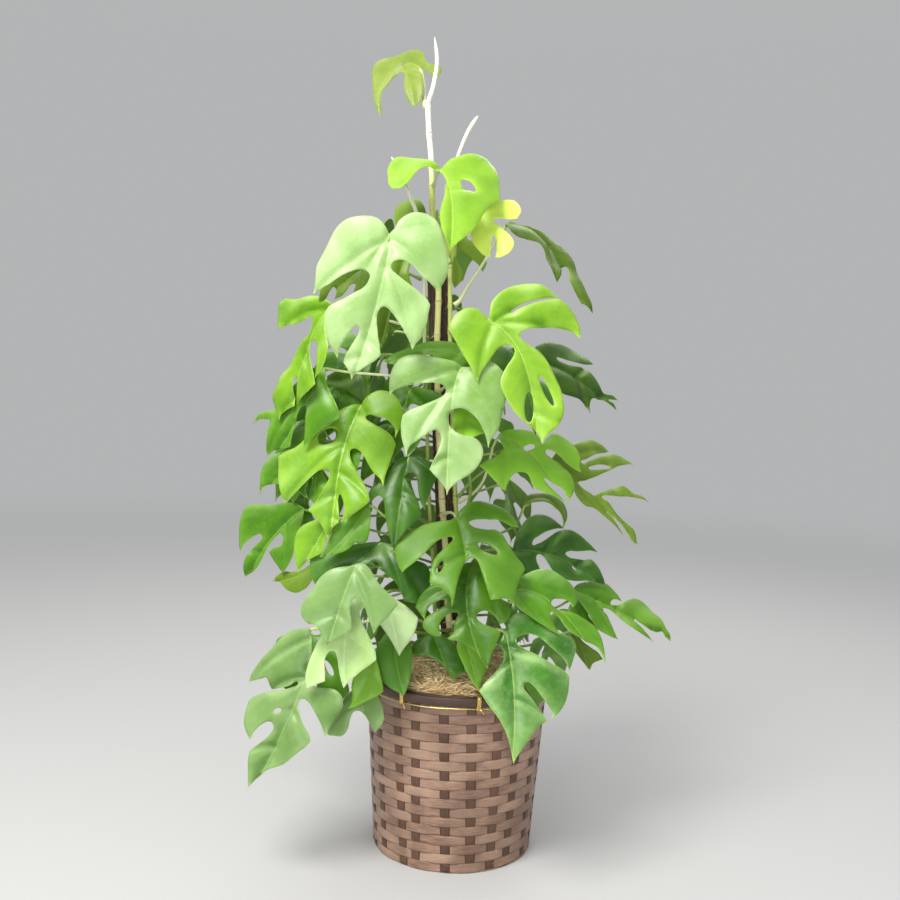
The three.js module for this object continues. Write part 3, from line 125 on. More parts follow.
    { name: 'B26', tone: 'back', at: [-186.21, 5.42, 649.48], along: [-0.5141, -0.4227, -0.7463], face: [-0.2564, -0.7546, 0.6041], length: 126.1, width: 63.1, droop: [10.6, 8.8, 0], outline: [0, 0, 18.1, -14.3, 75.8, -32.5, 92, -54.6, 111.5, -61.3, 91, -30.1, 129, -10, 101.6, 13.9, 53, 2.9, 51.7, 11.6, 92.2, 33.9, 38.9, 57], holes: [], petiole: [[-27.8, 52.9, 554.8], [-32.9, 54.4, 555.3], [-75.8, 63.5, 561.1], [-119.4, 63.2, 568.2], [-158.6, 48.8, 581.7], [-181.5, 24.4, 609.6], [-188.2, 3.3, 645.4]] },
    { name: 'B29', tone: 'back', at: [-208.96, -51.9, 613.52], along: [0.0282, -0.441, -0.8971], face: [-0.4122, -0.8227, 0.3915], length: 146.7, width: 71.2, droop: [10.7, 9.2, 0], outline: [0, 0, -16.4, -14.4, -15.5, -30.5, -3.2, -42.5, 14.4, -46.5, 32, -43.3, 17.1, -36.5, 13, -7.9, 38.7, -45.4, 83.7, -42, 53.9, -14.3, 50.9, -1, 99.7, -31, 125.8, -5.6, 113.2, -8.2, 97.2, 0.7, 125.5, -4.4, 144.2, 3.3, 116.7, 30.2, 77.8, 15.6, 76.5, 26.4, 113.5, 56.6, 65.5, 75.8, 48.2, 52.4, 8.5, 18.6], holes: [[31.7, 18, 39.1, 16.8, 47, 22.8, 47.9, 34.9, 40.6, 36.1, 32.7, 30]], petiole: [[-16.9, 45.7, 476.1], [-22.1, 44.4, 476], [-57.9, 31.6, 513.6], [-99.3, 7.5, 536.6], [-141.7, -24.3, 544.7], [-182, -48.6, 567.4], [-208.2, -54, 609.1]] },
    { name: 'B31', tone: 'back', at: [-100.93, -30.56, 604.66], along: [-0.4194, -0.2305, -0.8781], face: [-0.0741, -0.9553, 0.2862], length: 102, width: 32.7, droop: [7.8, 7.8, 0], outline: [0, 0, 9.5, -14.3, 44.9, -34.4, 52.5, -31.7, 48.9, -20.4, 100.2, -1, 61.3, 21.5, 22.9, -0.4, 20.5, 8.7, 57.4, 24.9, 21, 31.2, 1.9, 16.3], holes: [], petiole: [[-28.5, 52.9, 572.5], [-31.8, 48.8, 572], [-46.6, 31.9, 572.5], [-61.6, 15.7, 576], [-76.4, 0.3, 582.9], [-90, -14.5, 592.8], [-103.1, -31.4, 600.2]] },
  ] },
  { name: 'side_shoot_high', path: [[-33.6, 32.9, 640.6], [-32.4, 44.6, 664.8], [-33.4, 46.6, 695.7], [-36.7, 48.9, 726], [-41.6, 51.4, 756.5], [-44.2, 52.6, 787.2], [-45.4, 52.9, 818]], leaves: [
    { name: 'B13', tone: 'back', at: [-36.31, 129.92, 688], along: [-0.0562, 0.3885, -0.9197], face: [0.0322, 0.9214, 0.3872], length: 124.5, width: 39.9, droop: [9.5, 9.5, 0], outline: [0, 0, 2.3, -19.9, 25.6, -38.1, 70.1, -30.4, 25, -10.7, 28, 0.4, 74.8, -26.2, 122.3, 1.2, 59.7, 24.9, 56.4, 29.8, 64.1, 38.7, 54.8, 42, 11.6, 17.5], holes: [], petiole: [[-32.9, 45.3, 671.1], [-32.8, 50.6, 670.6], [-32.6, 66.4, 674.2], [-32.8, 82.2, 677.6], [-33.4, 98.1, 680.7], [-34.7, 114, 683.7], [-36.7, 131.6, 683.3]] },
    { name: 'B14', tone: 'back', at: [-115.28, 27.94, 876], along: [-0.3391, 0.1977, -0.9197], face: [-0.8664, 0.3153, 0.3872], length: 115, width: 55.8, droop: [8.4, 7.2, 0], outline: [0, 0, 6.7, -14.6, 51.3, -59.4, 88.9, -44.3, 59.9, -20.7, 61, -12.2, 91.5, -23.7, 113, -2.6, 98.3, 3.5, 76.1, -0.6, 98.6, 4.4, 78.1, 24.3, 39.9, 0.8, 42.3, 11.2, 65.6, 32.9, 30.3, 35.6, 10.2, 6.2, 13.4, 28.6, 25.1, 34, 11.3, 36.5, -12.2, 23.9, -12.8, 11.3], holes: [[24.9, -14.1, 30.6, -13.2, 36.8, -17.9, 37.6, -27.3, 31.8, -28.3, 25.6, -23.5]], petiole: [[-45.3, 52.9, 814.9], [-50.4, 51.4, 815], [-63.1, 47.5, 827.7], [-75.6, 42.8, 840.3], [-88.1, 37, 852.5], [-101.2, 31.6, 864.2], [-116.5, 29.3, 871.3]] },
    { name: 'B18', tone: 'back', at: [23.27, -2.9, 712], along: [0.3721, -0.1442, -0.9169], face: [0.9169, -0.0964, 0.3872], length: 99.7, width: 53.6, droop: [9.6, 8, 0], outline: [0, 0, 16.2, 27.4, 24.1, 32.8, 38.3, 29.7, 40.4, 53.5, 63.9, 64, 89.5, 43.1, 51.9, 31.8, 48.6, 23.7, 90.2, 26.5, 100.2, 6.1, 80.9, 7.6, 66.1, 0.1, 106, 0.5, 67.5, -15.2, 44.6, -14.7, 40.9, -28.1, 46.8, -42.7, 9, -43.6, 14.5, -9.6], holes: [[35.8, 19.6, 36, 15.8, 33.4, 11, 28.6, 9.3, 28.3, 13, 31, 17.8]], petiole: [[-33.3, 46.5, 692.6], [-28.6, 44.1, 693.7], [-16.1, 37, 696.7], [-4.1, 28.9, 699.4], [6.8, 19.4, 702.1], [15.7, 8.3, 705.6], [25, -2.3, 707.3]] },
    { name: 'B21', tone: 'back', at: [-118.78, -6.86, 700], along: [-0.3668, -0.1571, -0.9169], face: [-0.913, -0.1283, 0.3872], length: 99.7, width: 53.6, droop: [9.6, 8, 0], outline: [0, 0, 14.5, 9.6, 9, 43.6, 46.8, 42.7, 40.9, 28.1, 44.6, 14.7, 67.5, 15.2, 106, -0.5, 66.1, -0.1, 80.9, -7.6, 100.2, -6.1, 90.2, -26.5, 48.6, -23.7, 51.9, -31.8, 89.5, -43.1, 63.9, -64, 40.4, -53.5, 38.3, -29.7, 24.1, -32.8, 16.2, -27.4], holes: [[35.8, -19.6, 36, -15.8, 33.4, -11, 28.6, -9.3, 28.3, -13, 31, -17.8]], petiole: [[-33.2, 45.9, 680.4], [-37.2, 42.5, 679.6], [-52.4, 30.7, 683.2], [-68.4, 19.9, 686], [-84.9, 10.2, 689.3], [-101.7, 1.3, 693.9], [-120.5, -6.3, 695.3]] },
    { name: 'B09', tone: 'back', at: [-11.76, 55.4, 772], along: [0.1287, 0.3777, -0.9169], face: [0.5156, 0.7644, 0.3872], length: 127.1, width: 68.9, droop: [9.4, 10.9, 0], outline: [0, 0, 14.9, -6.6, 27.2, -3, 57.6, -29.1, 92.4, -7.5, 127.7, 0.9, 89.2, 36.7, 52.7, 14.8, 55.4, 24.4, 70.7, 35.4, 83.4, 42.4, 88.7, 38.6, 72, 56, 46.7, 62.1, 10.4, 9.6, 6.4, 29.8, 42.8, 62.4, 20.7, 70.7, 11.5, 68.9, -14.7, 22.2, -16.3, 13.2], holes: [], petiole: [[-42.2, 51.7, 762.6], [-37, 51, 763], [-32.2, 50.9, 765.3], [-27, 51.6, 766.9], [-21.9, 52.7, 768.3], [-16.9, 53.9, 770], [-11.7, 57.3, 767.4]] },
    { name: 'B10', tone: 'back', at: [-86.19, 83.09, 790], along: [-0.0908, 0.3849, -0.9185], face: [-0.4042, 0.8287, 0.3872], length: 162.9, width: 79.1, droop: [11.9, 10.2, 0], outline: [0, 0, 9.5, -20.7, 53.5, -58.1, 72.7, -84.2, 126, -62.8, 84.9, -29.3, 86.4, -17.3, 129.6, -33.5, 160.1, -3.7, 139.3, 4.9, 107.9, -0.8, 125.7, 9.1, 139.6, 6.2, 110.7, 34.4, 56.5, 1.1, 59.9, 15.9, 93, 46.6, 42.9, 50.4, 14.5, 8.8, 18.9, 40.5, 35.6, 48.1, 16, 51.7, -3.5, 47.2, -17.2, 33.8, -18.2, 16], holes: [[35.2, -20, 43.4, -18.7, 52.2, -25.3, 53.2, -38.7, 45.1, -40.1, 36.3, -33.3]], petiole: [[-43.8, 52.4, 781], [-48.3, 55.3, 780.8], [-56.2, 60.3, 782.6], [-64.1, 65.4, 783.9], [-71.8, 70.9, 785.3], [-79, 76.8, 787.3], [-86, 85, 785.4]] },
    { name: 'B11', tone: 'back', at: [-111.51, 43, 735], along: [-0.3694, 0.1327, -0.9197], face: [-0.7985, 0.461, 0.3872], length: 135.6, width: 71.3, droop: [9.8, 11.5, 0], outline: [0, 0, -8.6, -31.7, 13.6, -49.5, 81.3, -36.2, 49.8, -15.9, 44.9, -2, 50.6, 6.8, 64.8, 3.8, 74.7, -25.4, 86.1, -31.5, 100.7, -27.9, 133.7, -0.2, 109.9, 20.1, 72.5, 14.2, 71.4, 22.2, 87.8, 41.5, 100.5, 44.2, 76.1, 53.1, 58, 53.7, 36.1, 19.3, 23.6, 15.4, 26, 52.2, 38.9, 69.3, 20.9, 71.9, 3.9, 68.5, -5.2, 57.2], holes: [], petiole: [[-35.8, 48.3, 720], [-41.1, 48.6, 719.9], [-55.1, 48.1, 723.9], [-69.2, 44.9, 726], [-83.3, 41.2, 727.4], [-97.6, 40.3, 730.2], [-113.4, 43, 730.4]] },
    { name: 'B12', tone: 'back', at: [-51.31, 55.97, 905], along: [-0.0135, 0.387, -0.922], face: [-0.0322, 0.9214, 0.3872], length: 105.3, width: 58.9, droop: [9.8, 9.8, 0], outline: [0, 0, -14, -24.6, -4.9, -46.9, 7, -55.5, 15.2, -56.2, 5.9, -30.3, 9.8, -10.7, 23.1, -39.3, 54.3, -53.4, 98.5, -38.5, 88.8, -35.2, 87.6, -19.8, 46.1, -10.5, 52.5, -0.2, 90.8, 14.8, 76.9, 17.6, 65.7, 31.3, 42.6, 23.1, 23.7, 6.1, 50.8, 54, 18.1, 57.5], holes: [[44.9, -31.5, 44.5, -27.1, 39.2, -20.2, 31.1, -16.1, 31.6, -20.6, 37, -27.5]], petiole: [[-45.3, 52.9, 814.9], [-50.5, 54, 815], [-57.9, 55, 831.9], [-59.2, 54.1, 850.3], [-56, 52.6, 868.5], [-52.3, 52.6, 886.6], [-50.9, 57.6, 900.3]] },
    { name: 'B25', tone: 'back', at: [-158.81, -17.76, 703.51], along: [-0.5442, -0.243, -0.803], face: [-0.3521, -0.8026, 0.4815], length: 132.4, width: 64.3, droop: [9.7, 8.3, 0], outline: [0, 0, -14.8, -13, -14, -27.5, -2.9, -38.4, 13, -42, 28.9, -39.1, 15.4, -32.9, 11.7, -7.2, 34.9, -41, 75.6, -37.9, 48.7, -12.9, 45.9, -0.9, 90, -28, 113.5, -5.1, 102.2, -7.4, 87.7, 0.7, 113.2, -4, 130.1, 3, 105.3, 27.2, 70.2, 14.1, 69, 23.9, 102.4, 51.1, 59.1, 68.4, 7.7, 16.8], holes: [[28.6, 16.3, 35.3, 15.2, 42.4, 20.6, 43.3, 31.5, 36.6, 32.6, 29.5, 27.1]], petiole: [[-32.9, 45.3, 671.1], [-38.2, 45.2, 670.6], [-62.2, 44.1, 689.9], [-90.8, 39.2, 699.3], [-118.1, 26, 694.8], [-140.4, 5.1, 693.1], [-161, -19, 699.2]] },
    { name: 'B27', tone: 'back', at: [-80.11, -44.44, 650.63], along: [-0.3998, -0.1806, -0.8986], face: [-0.4397, -0.8224, 0.3609], length: 128.8, width: 67.7, droop: [9.3, 10.9, 0], outline: [0, 0, -8.2, -30.1, 12.9, -47.1, 77.2, -34.4, 47.3, -15.1, 42.6, -1.9, 48.1, 6.5, 61.6, 3.6, 71, -24.1, 81.8, -29.9, 95.6, -26.5, 127, -0.1, 104.4, 19.1, 68.8, 13.5, 67.8, 21.1, 83.4, 39.4, 95.5, 42, 72.3, 50.4, 55.1, 51.1, 34.3, 18.4, 22.4, 14.7, 24.7, 49.6, 37, 65.9, 19.9, 68.3, 3.7, 65, -4.9, 54.3], holes: [], petiole: [[-32.9, 45.3, 671.1], [-36.4, 41.3, 670.6], [-49.3, 26.3, 666.6], [-60.6, 10.9, 660.1], [-68.6, -5.8, 652.4], [-74.2, -24.8, 649], [-81.4, -45.4, 645.9]] },
    { name: 'B30', tone: 'back', at: [55.63, -113.12, 706.12], along: [0.3077, -0.4206, -0.8535], face: [0.5909, -0.6186, 0.5179], length: 130.8, width: 68.7, droop: [9.5, 11.1, 0], outline: [0, 0, -8.3, -30.6, 13.1, -47.8, 78.4, -34.9, 48, -15.3, 43.3, -2, 48.9, 6.6, 62.5, 3.6, 72.1, -24.5, 83.1, -30.4, 97.1, -26.9, 128.9, -0.1, 106, 19.3, 69.9, 13.7, 68.8, 21.4, 84.7, 40, 97, 42.7, 73.4, 51.2, 56, 51.8, 34.9, 18.7, 22.7, 14.9, 25.1, 50.4, 37.6, 66.9, 20.2, 69.3, 3.8, 66, -5, 55.2], holes: [], petiole: [[-32.9, 45.3, 671.1], [-31.6, 40.1, 670.6], [-20.4, 5.8, 675.8], [-2.9, -26.1, 677.9], [18.5, -55.4, 681.2], [39, -84.1, 690.6], [57.5, -114.6, 701.7]] },
  ] },
];

// ---------------------------------------------------------------- helpers
const wasm = await Module();
wasm.setup();

// closed, indexed geometry with only positions
function weld(geometry) {
  const g = geometry.index ? geometry.clone() : geometry.clone();
  g.deleteAttribute('normal');
  g.deleteAttribute('uv');
  return mergeVertices(g, 1e-4);
}
function toManifold(geometry) {
  const g = weld(geometry);
  return new wasm.Manifold(new wasm.Mesh({
    numProp: 3,
    vertProperties: new Float32Array(g.attributes.position.array),
    triVerts: new Uint32Array(g.index.array),
  }));
}
function fromManifold(solid) {
  const m = solid.getMesh();
  const g = new THREE.BufferGeometry();
  g.setAttribute('position', new THREE.BufferAttribute(new Float32Array(m.vertProperties), 3));
  g.setIndex(new THREE.BufferAttribute(new Uint32Array(m.triVerts), 1));
  return g;
}
// join closed pieces; a speck of air enclosed where two of them meet is filled
function joined(list) {
  const parts = list.map(toManifold).reduce((a, b) => a.add(b)).decompose();
  return parts.reduce((a, b) => (b.volume() > a.volume() ? b : a));
}

// round bar along a smooth curve through the points
function bar(points, radius, sides, steps) {
  const curve = new THREE.CatmullRomCurve3(points.map((p) => new THREE.Vector3(...p)), false, 'centripetal');
  const section = new THREE.Shape();
  for (let i = 0; i < sides; i++) {
    const a = (2 * Math.PI * i) / sides;
    if (i === 0) section.moveTo(radius * Math.cos(a), radius * Math.sin(a));
    else section.lineTo(radius * Math.cos(a), radius * Math.sin(a));
  }
  section.closePath();
  return new THREE.ExtrudeGeometry(section, { steps, bevelEnabled: false, extrudePath: curve });
}
// body of revolution about Z from [radius, height] pairs
function turned(profile, segments) {
  const g = new THREE.LatheGeometry(profile.map(([r, z]) => new THREE.Vector2(r, z)), segments);
  g.rotateX(Math.PI / 2);
  return g;
}
// The profile is given anticlockwise in the half plane, so a turned body can come out inside out.
function outward(geometry) {
  const g = weld(geometry);
  const p = g.attributes.position, ix = g.index.array;
  let six = 0;
  const a = new THREE.Vector3(), b = new THREE.Vector3(), c = new THREE.Vector3();
  for (let i = 0; i < ix.length; i += 3) {
    a.fromBufferAttribute(p, ix[i]); b.fromBufferAttribute(p, ix[i + 1]); c.fromBufferAttribute(p, ix[i + 2]);
    six += a.dot(b.cross(c));
  }
  if (six < 0) for (let i = 0; i < ix.length; i += 3) { const t = ix[i]; ix[i] = ix[i + 1]; ix[i + 1] = t; }
  const keep = [];
  for (let i = 0; i < ix.length; i += 3) {
    if (ix[i] !== ix[i + 1] && ix[i + 1] !== ix[i + 2] && ix[i] !== ix[i + 2]) keep.push(ix[i], ix[i + 1], ix[i + 2]);
  }
  g.setIndex(keep);
  return g;
}

// ---- leaf blade: a thin curved sheet cut to the leaf's outline
// height of the blade over its own plane: it droops towards the tip and towards both edges
function rise(leaf, u, v) {
  const s = Math.min(Math.max(u / leaf.length, -1.2), 1.3);
  const w = v / Math.max(leaf.width, 40);
  const [tip, edge, twist] = leaf.droop;
  return -tip * s * s * (s > 0 ? 1 : 0.6) - edge * w * w * 0.9 + twist * w * s;
}
const cross2 = (o, a, b) => (a.x - o.x) * (b.y - o.y) - (a.y - o.y) * (b.x - o.x);
function insideRing(p, ring) {
  let c = false;
  for (let i = 0, j = ring.length - 1; i < ring.length; j = i++) {
    if ((ring[i].y > p.y) !== (ring[j].y > p.y) &&
        p.x < ((ring[j].x - ring[i].x) * (p.y - ring[i].y)) / (ring[j].y - ring[i].y) + ring[i].x) c = !c;
  }
  return c;
}
function edgeDistance(p, ring) {
  let best = Infinity;
  for (let i = 0, j = ring.length - 1; i < ring.length; j = i++) {
    const d = ring[i].clone().sub(ring[j]);
    const t = Math.min(1, Math.max(0, p.clone().sub(ring[j]).dot(d) / Math.max(d.lengthSq(), 1e-9)));
    best = Math.min(best, ring[j].clone().addScaledVector(d, t).distanceTo(p));
  }
  return best;
}
function bladeTriangles(contour, holes) {
  const pts = [...contour, ...holes.flat()];
  let tris = THREE.ShapeUtils.triangulateShape(contour, holes).map((t) => [...t]);
  tris = tris.map(([a, b, c]) => (cross2(pts[a], pts[b], pts[c]) < 0 ? [a, c, b] : [a, b, c]));
  // a few points inside the sheet, so that it follows its curve
  const box = new THREE.Box2().setFromPoints(contour);
  for (let x = box.min.x + BLADE_GRID / 2; x < box.max.x; x += BLADE_GRID) {
    for (let y = box.min.y + BLADE_GRID / 2; y < box.max.y; y += BLADE_GRID) {
      const p = new THREE.Vector2(x, y);
      if (!insideRing(p, contour) || edgeDistance(p, contour) < BLADE_GRID * 0.28) continue;
      if (holes.some((h) => insideRing(p, h) || edgeDistance(p, h) < 5)) continue;
      const k = tris.findIndex(([a, b, c]) => cross2(pts[a], pts[b], p) > 1e-6 && cross2(pts[b], pts[c], p) > 1e-6 && cross2(pts[c], pts[a], p) > 1e-6);
      if (k < 0) continue;
      const [a, b, c] = tris[k];
      const n = pts.push(p) - 1;
      tris.splice(k, 1, [a, b, n], [b, c, n], [c, a, n]);
    }
  }
  // swap diagonals until no triangle is needlessly thin
  const inCircle = (a, b, c, d) => {
    const ax = a.x - d.x, ay = a.y - d.y, bx = b.x - d.x, by = b.y - d.y, cx = c.x - d.x, cy = c.y - d.y;
    return (ax * ax + ay * ay) * (bx * cy - cx * by) - (bx * bx + by * by) * (ax * cy - cx * ay) + (cx * cx + cy * cy) * (ax * by - bx * ay);
  };
  for (let pass = 0; pass < 40; pass++) {
    const edges = new Map();
    let swapped = false;
    tris.forEach((t, k) => t.forEach((a, i) => edges.set(a + '_' + t[(i + 1) % 3], [k, i])));
    const touched = new Set();
    for (let k = 0; k < tris.length; k++) {
      for (let i = 0; i < 3; i++) {
        if (touched.has(k)) break;
        const a = tris[k][i], b = tris[k][(i + 1) % 3], c = tris[k][(i + 2) % 3];
        const other = edges.get(b + '_' + a);
        if (!other || touched.has(other[0])) continue;
        const d = tris[other[0]][(other[1] + 2) % 3];
        if (inCircle(pts[a], pts[b], pts[c], pts[d]) > 1e-6 &&
            cross2(pts[c], pts[a], pts[d]) > 1e-3 && cross2(pts[c], pts[d], pts[b]) > 1e-3) {
          tris[k] = [c, a, d];
          tris[other[0]] = [c, d, b];
          touched.add(k); touched.add(other[0]);
          swapped = true;
        }
      }
    }
    if (!swapped) break;
  }
  return { pts, tris };
}
function blade(leaf) {
  const ring = (flat) => {
    const r = [];
    for (let i = 0; i < flat.length; i += 2) r.push(new THREE.Vector2(flat[i], flat[i + 1]));
    return r;
  };
  const contour = ring(leaf.outline);
  if (THREE.ShapeUtils.isClockWise(contour)) contour.reverse();
  const holes = leaf.holes.map((h) => { const r = ring(h); if (!THREE.ShapeUtils.isClockWise(r)) r.reverse(); return r; });
  const { pts, tris } = bladeTriangles(contour, holes);
  const n = pts.length, position = [], index = [];
  for (const side of [0.5, -0.5]) for (const p of pts) position.push(p.x, p.y, rise(leaf, p.x, p.y) + side * BLADE_THICKNESS);
  const has = new Set();
  for (const [a, b, c] of tris) {
    index.push(a, b, c, c + n, b + n, a + n);
    has.add(a + '_' + b); has.add(b + '_' + c); has.add(c + '_' + a);
  }
  for (const e of has) {
    const [a, b] = e.split('_').map(Number);
    if (!has.has(b + '_' + a)) index.push(a, a + n, b, b, a + n, b + n);
  }
  const g = new THREE.BufferGeometry();
  g.setAttribute('position', new THREE.BufferAttribute(new Float32Array(position), 3));
  g.setIndex(index);
  return g;
}
function leafMatrix(leaf) {
  const u = new THREE.Vector3(...leaf.along).normalize();
  const n0 = new THREE.Vector3(...leaf.face).normalize();
  const v = new THREE.Vector3().crossVectors(n0, u).normalize();
  const n = new THREE.Vector3().crossVectors(u, v).normalize();
  return new THREE.Matrix4().makeBasis(u, v, n).setPosition(...leaf.at);
}
// blade and petiole grown as one body, in the leaf's own frame
function leafBody(leaf) {
  const inverse = leafMatrix(leaf).invert();
  const stalk = leaf.petiole.map((p) => new THREE.Vector3(...p).applyMatrix4(inverse).toArray());
  return fromManifold(joined([blade(leaf), bar(stalk, PETIOLE_RADIUS, PETIOLE_SIDES, PETIOLE_STEPS)]));
}

// ---------------------------------------------------------------- materials
const paint = (color, roughness, metalness = 0) => new THREE.MeshStandardMaterial({ color: new THREE.Color(...color), roughness, metalness });
const leafPaint = {
  bright: paint([0.30, 0.55, 0.07], 0.45), pale: paint([0.50, 0.68, 0.32], 0.45), palebright: paint([0.46, 0.66, 0.26], 0.45),
  mid: paint([0.22, 0.45, 0.07], 0.5), deep: paint([0.10, 0.30, 0.06], 0.5), deepbright: paint([0.16, 0.38, 0.08], 0.45),
  dark: paint([0.08, 0.22, 0.05], 0.55), olive: paint([0.30, 0.42, 0.12], 0.6), yellow: paint([0.62, 0.72, 0.18], 0.5), back: paint([0.15, 0.36, 0.07], 0.5),
};
const chip = paint([0.36, 0.24, 0.19], 0.6), hoop = paint([0.16, 0.10, 0.08], 0.55), gilt = paint([0.80, 0.62, 0.28], 0.35, 1);
const black = paint([0.03, 0.03, 0.03], 0.5), mix = paint([0.06, 0.04, 0.03], 0.95), wool = paint([0.72, 0.55, 0.36], 0.85);
const fibre = paint([0.12, 0.08, 0.06], 0.95), shootPaint = paint([0.80, 0.82, 0.62], 0.5), stemPaint = paint([0.42, 0.52, 0.20], 0.5);

// ---------------------------------------------------------------- assembly
const plant = new THREE.Group();
function put(name, geometry, material, parent = plant) {
  const g = geometry.clone();
  if (!g.attributes.normal) g.computeVertexNormals();
  const m = new THREE.Mesh(g, material);
  m.name = name;
  parent.add(m);
  return m;
}

// basket: woven wall and woven base in one body, open at the top
const wallR = (z) => BASKET_BASE_RADIUS + ((BASKET_TOP_RADIUS - BASKET_BASE_RADIUS) * z) / BASKET_HEIGHT;
const holder = new THREE.Group();
plant.add(holder);
put('basket_body', outward(turned([
  [0, 0], [wallR(0) - 1.5, 0], [wallR(3), 3], [wallR(HOOP_BOTTOM), HOOP_BOTTOM], [wallR(BASKET_WALL_TOP), BASKET_WALL_TOP],
  [wallR(BASKET_WALL_TOP) - WALL, BASKET_WALL_TOP], [wallR(BASKET_FLOOR) - WALL, BASKET_FLOOR], [0, BASKET_FLOOR],
], 32)), chip, holder);
const hoopAt = (r0) => outward(turned([
  [r0 + 0.0, HOOP_BOTTOM], [r0 + HOOP_THICK, HOOP_BOTTOM], [r0 + HOOP_THICK + 0.8, HOOP_TOP], [r0 + 0.8, HOOP_TOP], [r0 + 0.0, HOOP_BOTTOM],
], 32));
put('rim_hoop_outer', hoopAt(HOOP_OUTER_INNER_RADIUS), hoop, holder);
put('rim_hoop_inner', hoopAt(HOOP_INNER_INNER_RADIUS), hoop, holder);

// gilt wire: one ring along the hoop's lower edge, and loops over the rim, twisted together into one piece
const ringR = HOOP_OUTER_INNER_RADIUS + HOOP_THICK + WIRE_RADIUS + 0.45, hugR = ringR - 2.1;
const wirePieces = [];
{
  const s = WIRE_RADIUS;
  wirePieces.push(outward(turned([[hugR - s, HOOP_BOTTOM - 2.4], [hugR, HOOP_BOTTOM - 2.4 - s], [hugR + s, HOOP_BOTTOM - 2.4], [hugR, HOOP_BOTTOM - 2.4 + s], [hugR - s, HOOP_BOTTOM - 2.4]], 32)));
  for (let i = 0; i < WIRE_LOOPS; i++) {
    const a = THREE.MathUtils.degToRad(WIRE_FIRST_ANGLE + (360 / WIRE_LOOPS) * i);
    const at = (r, z) => [r * Math.cos(a), r * Math.sin(a), z];
    const inR = HOOP_INNER_INNER_RADIUS - WIRE_RADIUS - 0.45, over = HOOP_TOP + WIRE_RADIUS + 0.45;
    wirePieces.push(bar([at(hugR + 0.1, HOOP_BOTTOM - 4), at(ringR - 0.2, HOOP_BOTTOM - 1), at(ringR + 0.4, HOOP_BOTTOM + 4), at(ringR + 1.6, over - 1.0), at(ringR - 2, over + 1.4), at(inR + 3, over + 1.6), at(inR - 0.3, over - 0.8), at(inR - 0.1, HOOP_BOTTOM + 3)], WIRE_RADIUS, 4, 14));
  }
}
put('rim_binding_wire', fromManifold(joined(wirePieces)), gilt, holder);

// grower's pot with drain holes, inside the basket
{
  const shell = toManifold(outward(turned([
    [0, POT_BOTTOM], [POT_BASE_RADIUS, POT_BOTTOM], [POT_TOP_RADIUS, POT_TOP - 9], [POT_LIP_RADIUS, POT_TOP - 9], [POT_LIP_RADIUS + 0.6, POT_TOP],
    [POT_TOP_RADIUS - POT_WALL, POT_TOP], [POT_BASE_RADIUS - POT_WALL, POT_BOTTOM + POT_WALL], [0, POT_BOTTOM + POT_WALL],
  ], 28)));
  const holes = [];
  for (let i = 0; i < DRAIN_HOLES; i++) {
    const a = (2 * Math.PI * (i + 0.5)) / DRAIN_HOLES;
    const c = new THREE.CylinderGeometry(6, 6, 10, 8);
    c.rotateX(Math.PI / 2);
    c.translate(62 * Math.cos(a), 62 * Math.sin(a), POT_BOTTOM);
    holes.push(c);
  }
  put('nursery_pot', fromManifold(holes.map(toManifold).reduce((s, h) => s.subtract(h), shell)), black, holder);
}

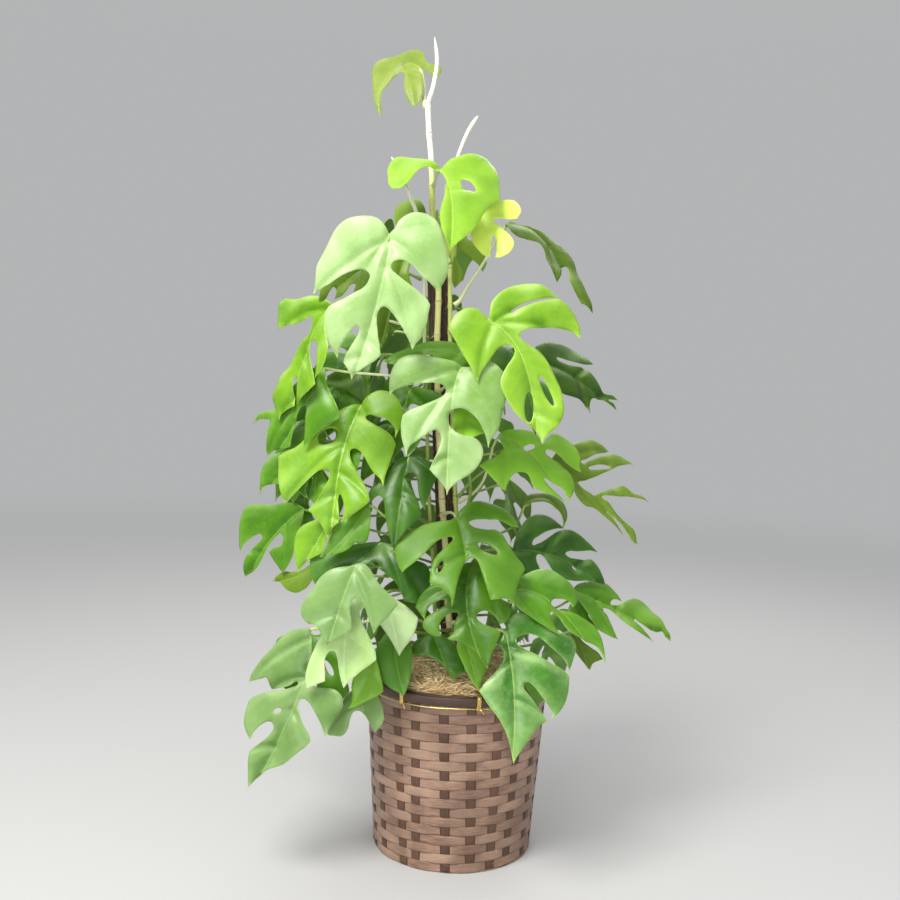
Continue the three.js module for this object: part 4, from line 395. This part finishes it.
// potting mix with the socket of the pole, and the wood-wool mound round pole and stems
const slope = (z) => POT_BASE_RADIUS + ((POT_TOP_RADIUS - POT_BASE_RADIUS) * (z - POT_BOTTOM)) / (POT_TOP - 9 - POT_BOTTOM) - POT_WALL - 0.8;
{
  const fill = toManifold(outward(turned([[0, POT_BOTTOM + POT_WALL + 0.5], [slope(POT_BOTTOM + POT_WALL), POT_BOTTOM + POT_WALL + 0.5], [slope(POT_TOP - 9) - 0.3, POT_TOP - 9], [slope(POT_TOP - 9) - 0.3, SOIL_TOP], [0, SOIL_TOP]], 28)));
  // sockets of the pole and of the stems' planted ends, a little wider and deeper than what stands in them
  const socket = (path, radius, sides, steps) => {
    const a = new THREE.Vector3(...path[0]), b = new THREE.Vector3(...path[1]);
    const d = b.clone().sub(a).normalize();
    const foot = [a.clone().addScaledVector(d, -2).toArray(), a.clone().addScaledVector(d, 5).toArray()];
    return [bar(path, radius, sides, steps), bar(foot, radius, sides, 1)];
  };
  const clear = [...socket(POLE, POLE_RADIUS + 0.7, 10, 12), ...STEMS.flatMap((s) => socket(s.path, s.radius + 0.8, 7, STEM_STEPS))];
  put('soil', fromManifold(clear.map(toManifold).reduce((s, h) => s.subtract(h), fill)), mix, holder);
  const mound = toManifold(outward(turned([
    [0, WOOL_BOTTOM], [WOOL_RADIUS - 3, WOOL_BOTTOM], [WOOL_RADIUS, HOOP_TOP - 6], [WOOL_RADIUS - 2, HOOP_TOP + 5], [WOOL_RADIUS * 0.82, WOOL_TOP - 7], [WOOL_RADIUS * 0.45, WOOL_TOP], [0, WOOL_TOP + 1],
  ], 28)));
  
  put('wood_wool', fromManifold(clear.map(toManifold).reduce((s, h) => s.subtract(h), mound)), wool, holder);
}

// climbing pole and stems; a stem and the new shoot at its end are one body
put('support_pole', outward(bar(POLE, POLE_RADIUS, 10, 12)), fibre);
for (const s of STEMS) {
  const pieces = [bar(s.path, s.radius, 7, STEM_STEPS)];
  for (const t of s.shoots) pieces.push(bar(t.path, t.radius, 6, t.steps));
  put(s.name, fromManifold(joined(pieces)), s.shoots.length ? shootPaint : stemPaint);
}

// leaves that the front shows, one node each
for (const leaf of LEAVES) {
  const m = put(leaf.name, leafBody(leaf), leafPaint[leaf.tone]);
  leafMatrix(leaf).decompose(m.position, m.quaternion, m.scale);
  m.scale.set(1, 1, 1);
}
// side shoots at the back: a short stem with its leaves grown on it
for (const s of SIDE_SHOOTS) {
  const pieces = [bar(s.path, SIDE_RADIUS, 6, 8)];
  for (const leaf of s.leaves) {
    const g = leafBody(leaf);
    g.applyMatrix4(leafMatrix(leaf));
    pieces.push(g);
  }
  put(s.name, fromManifold(joined(pieces)), leafPaint.back);
}

export default plant;
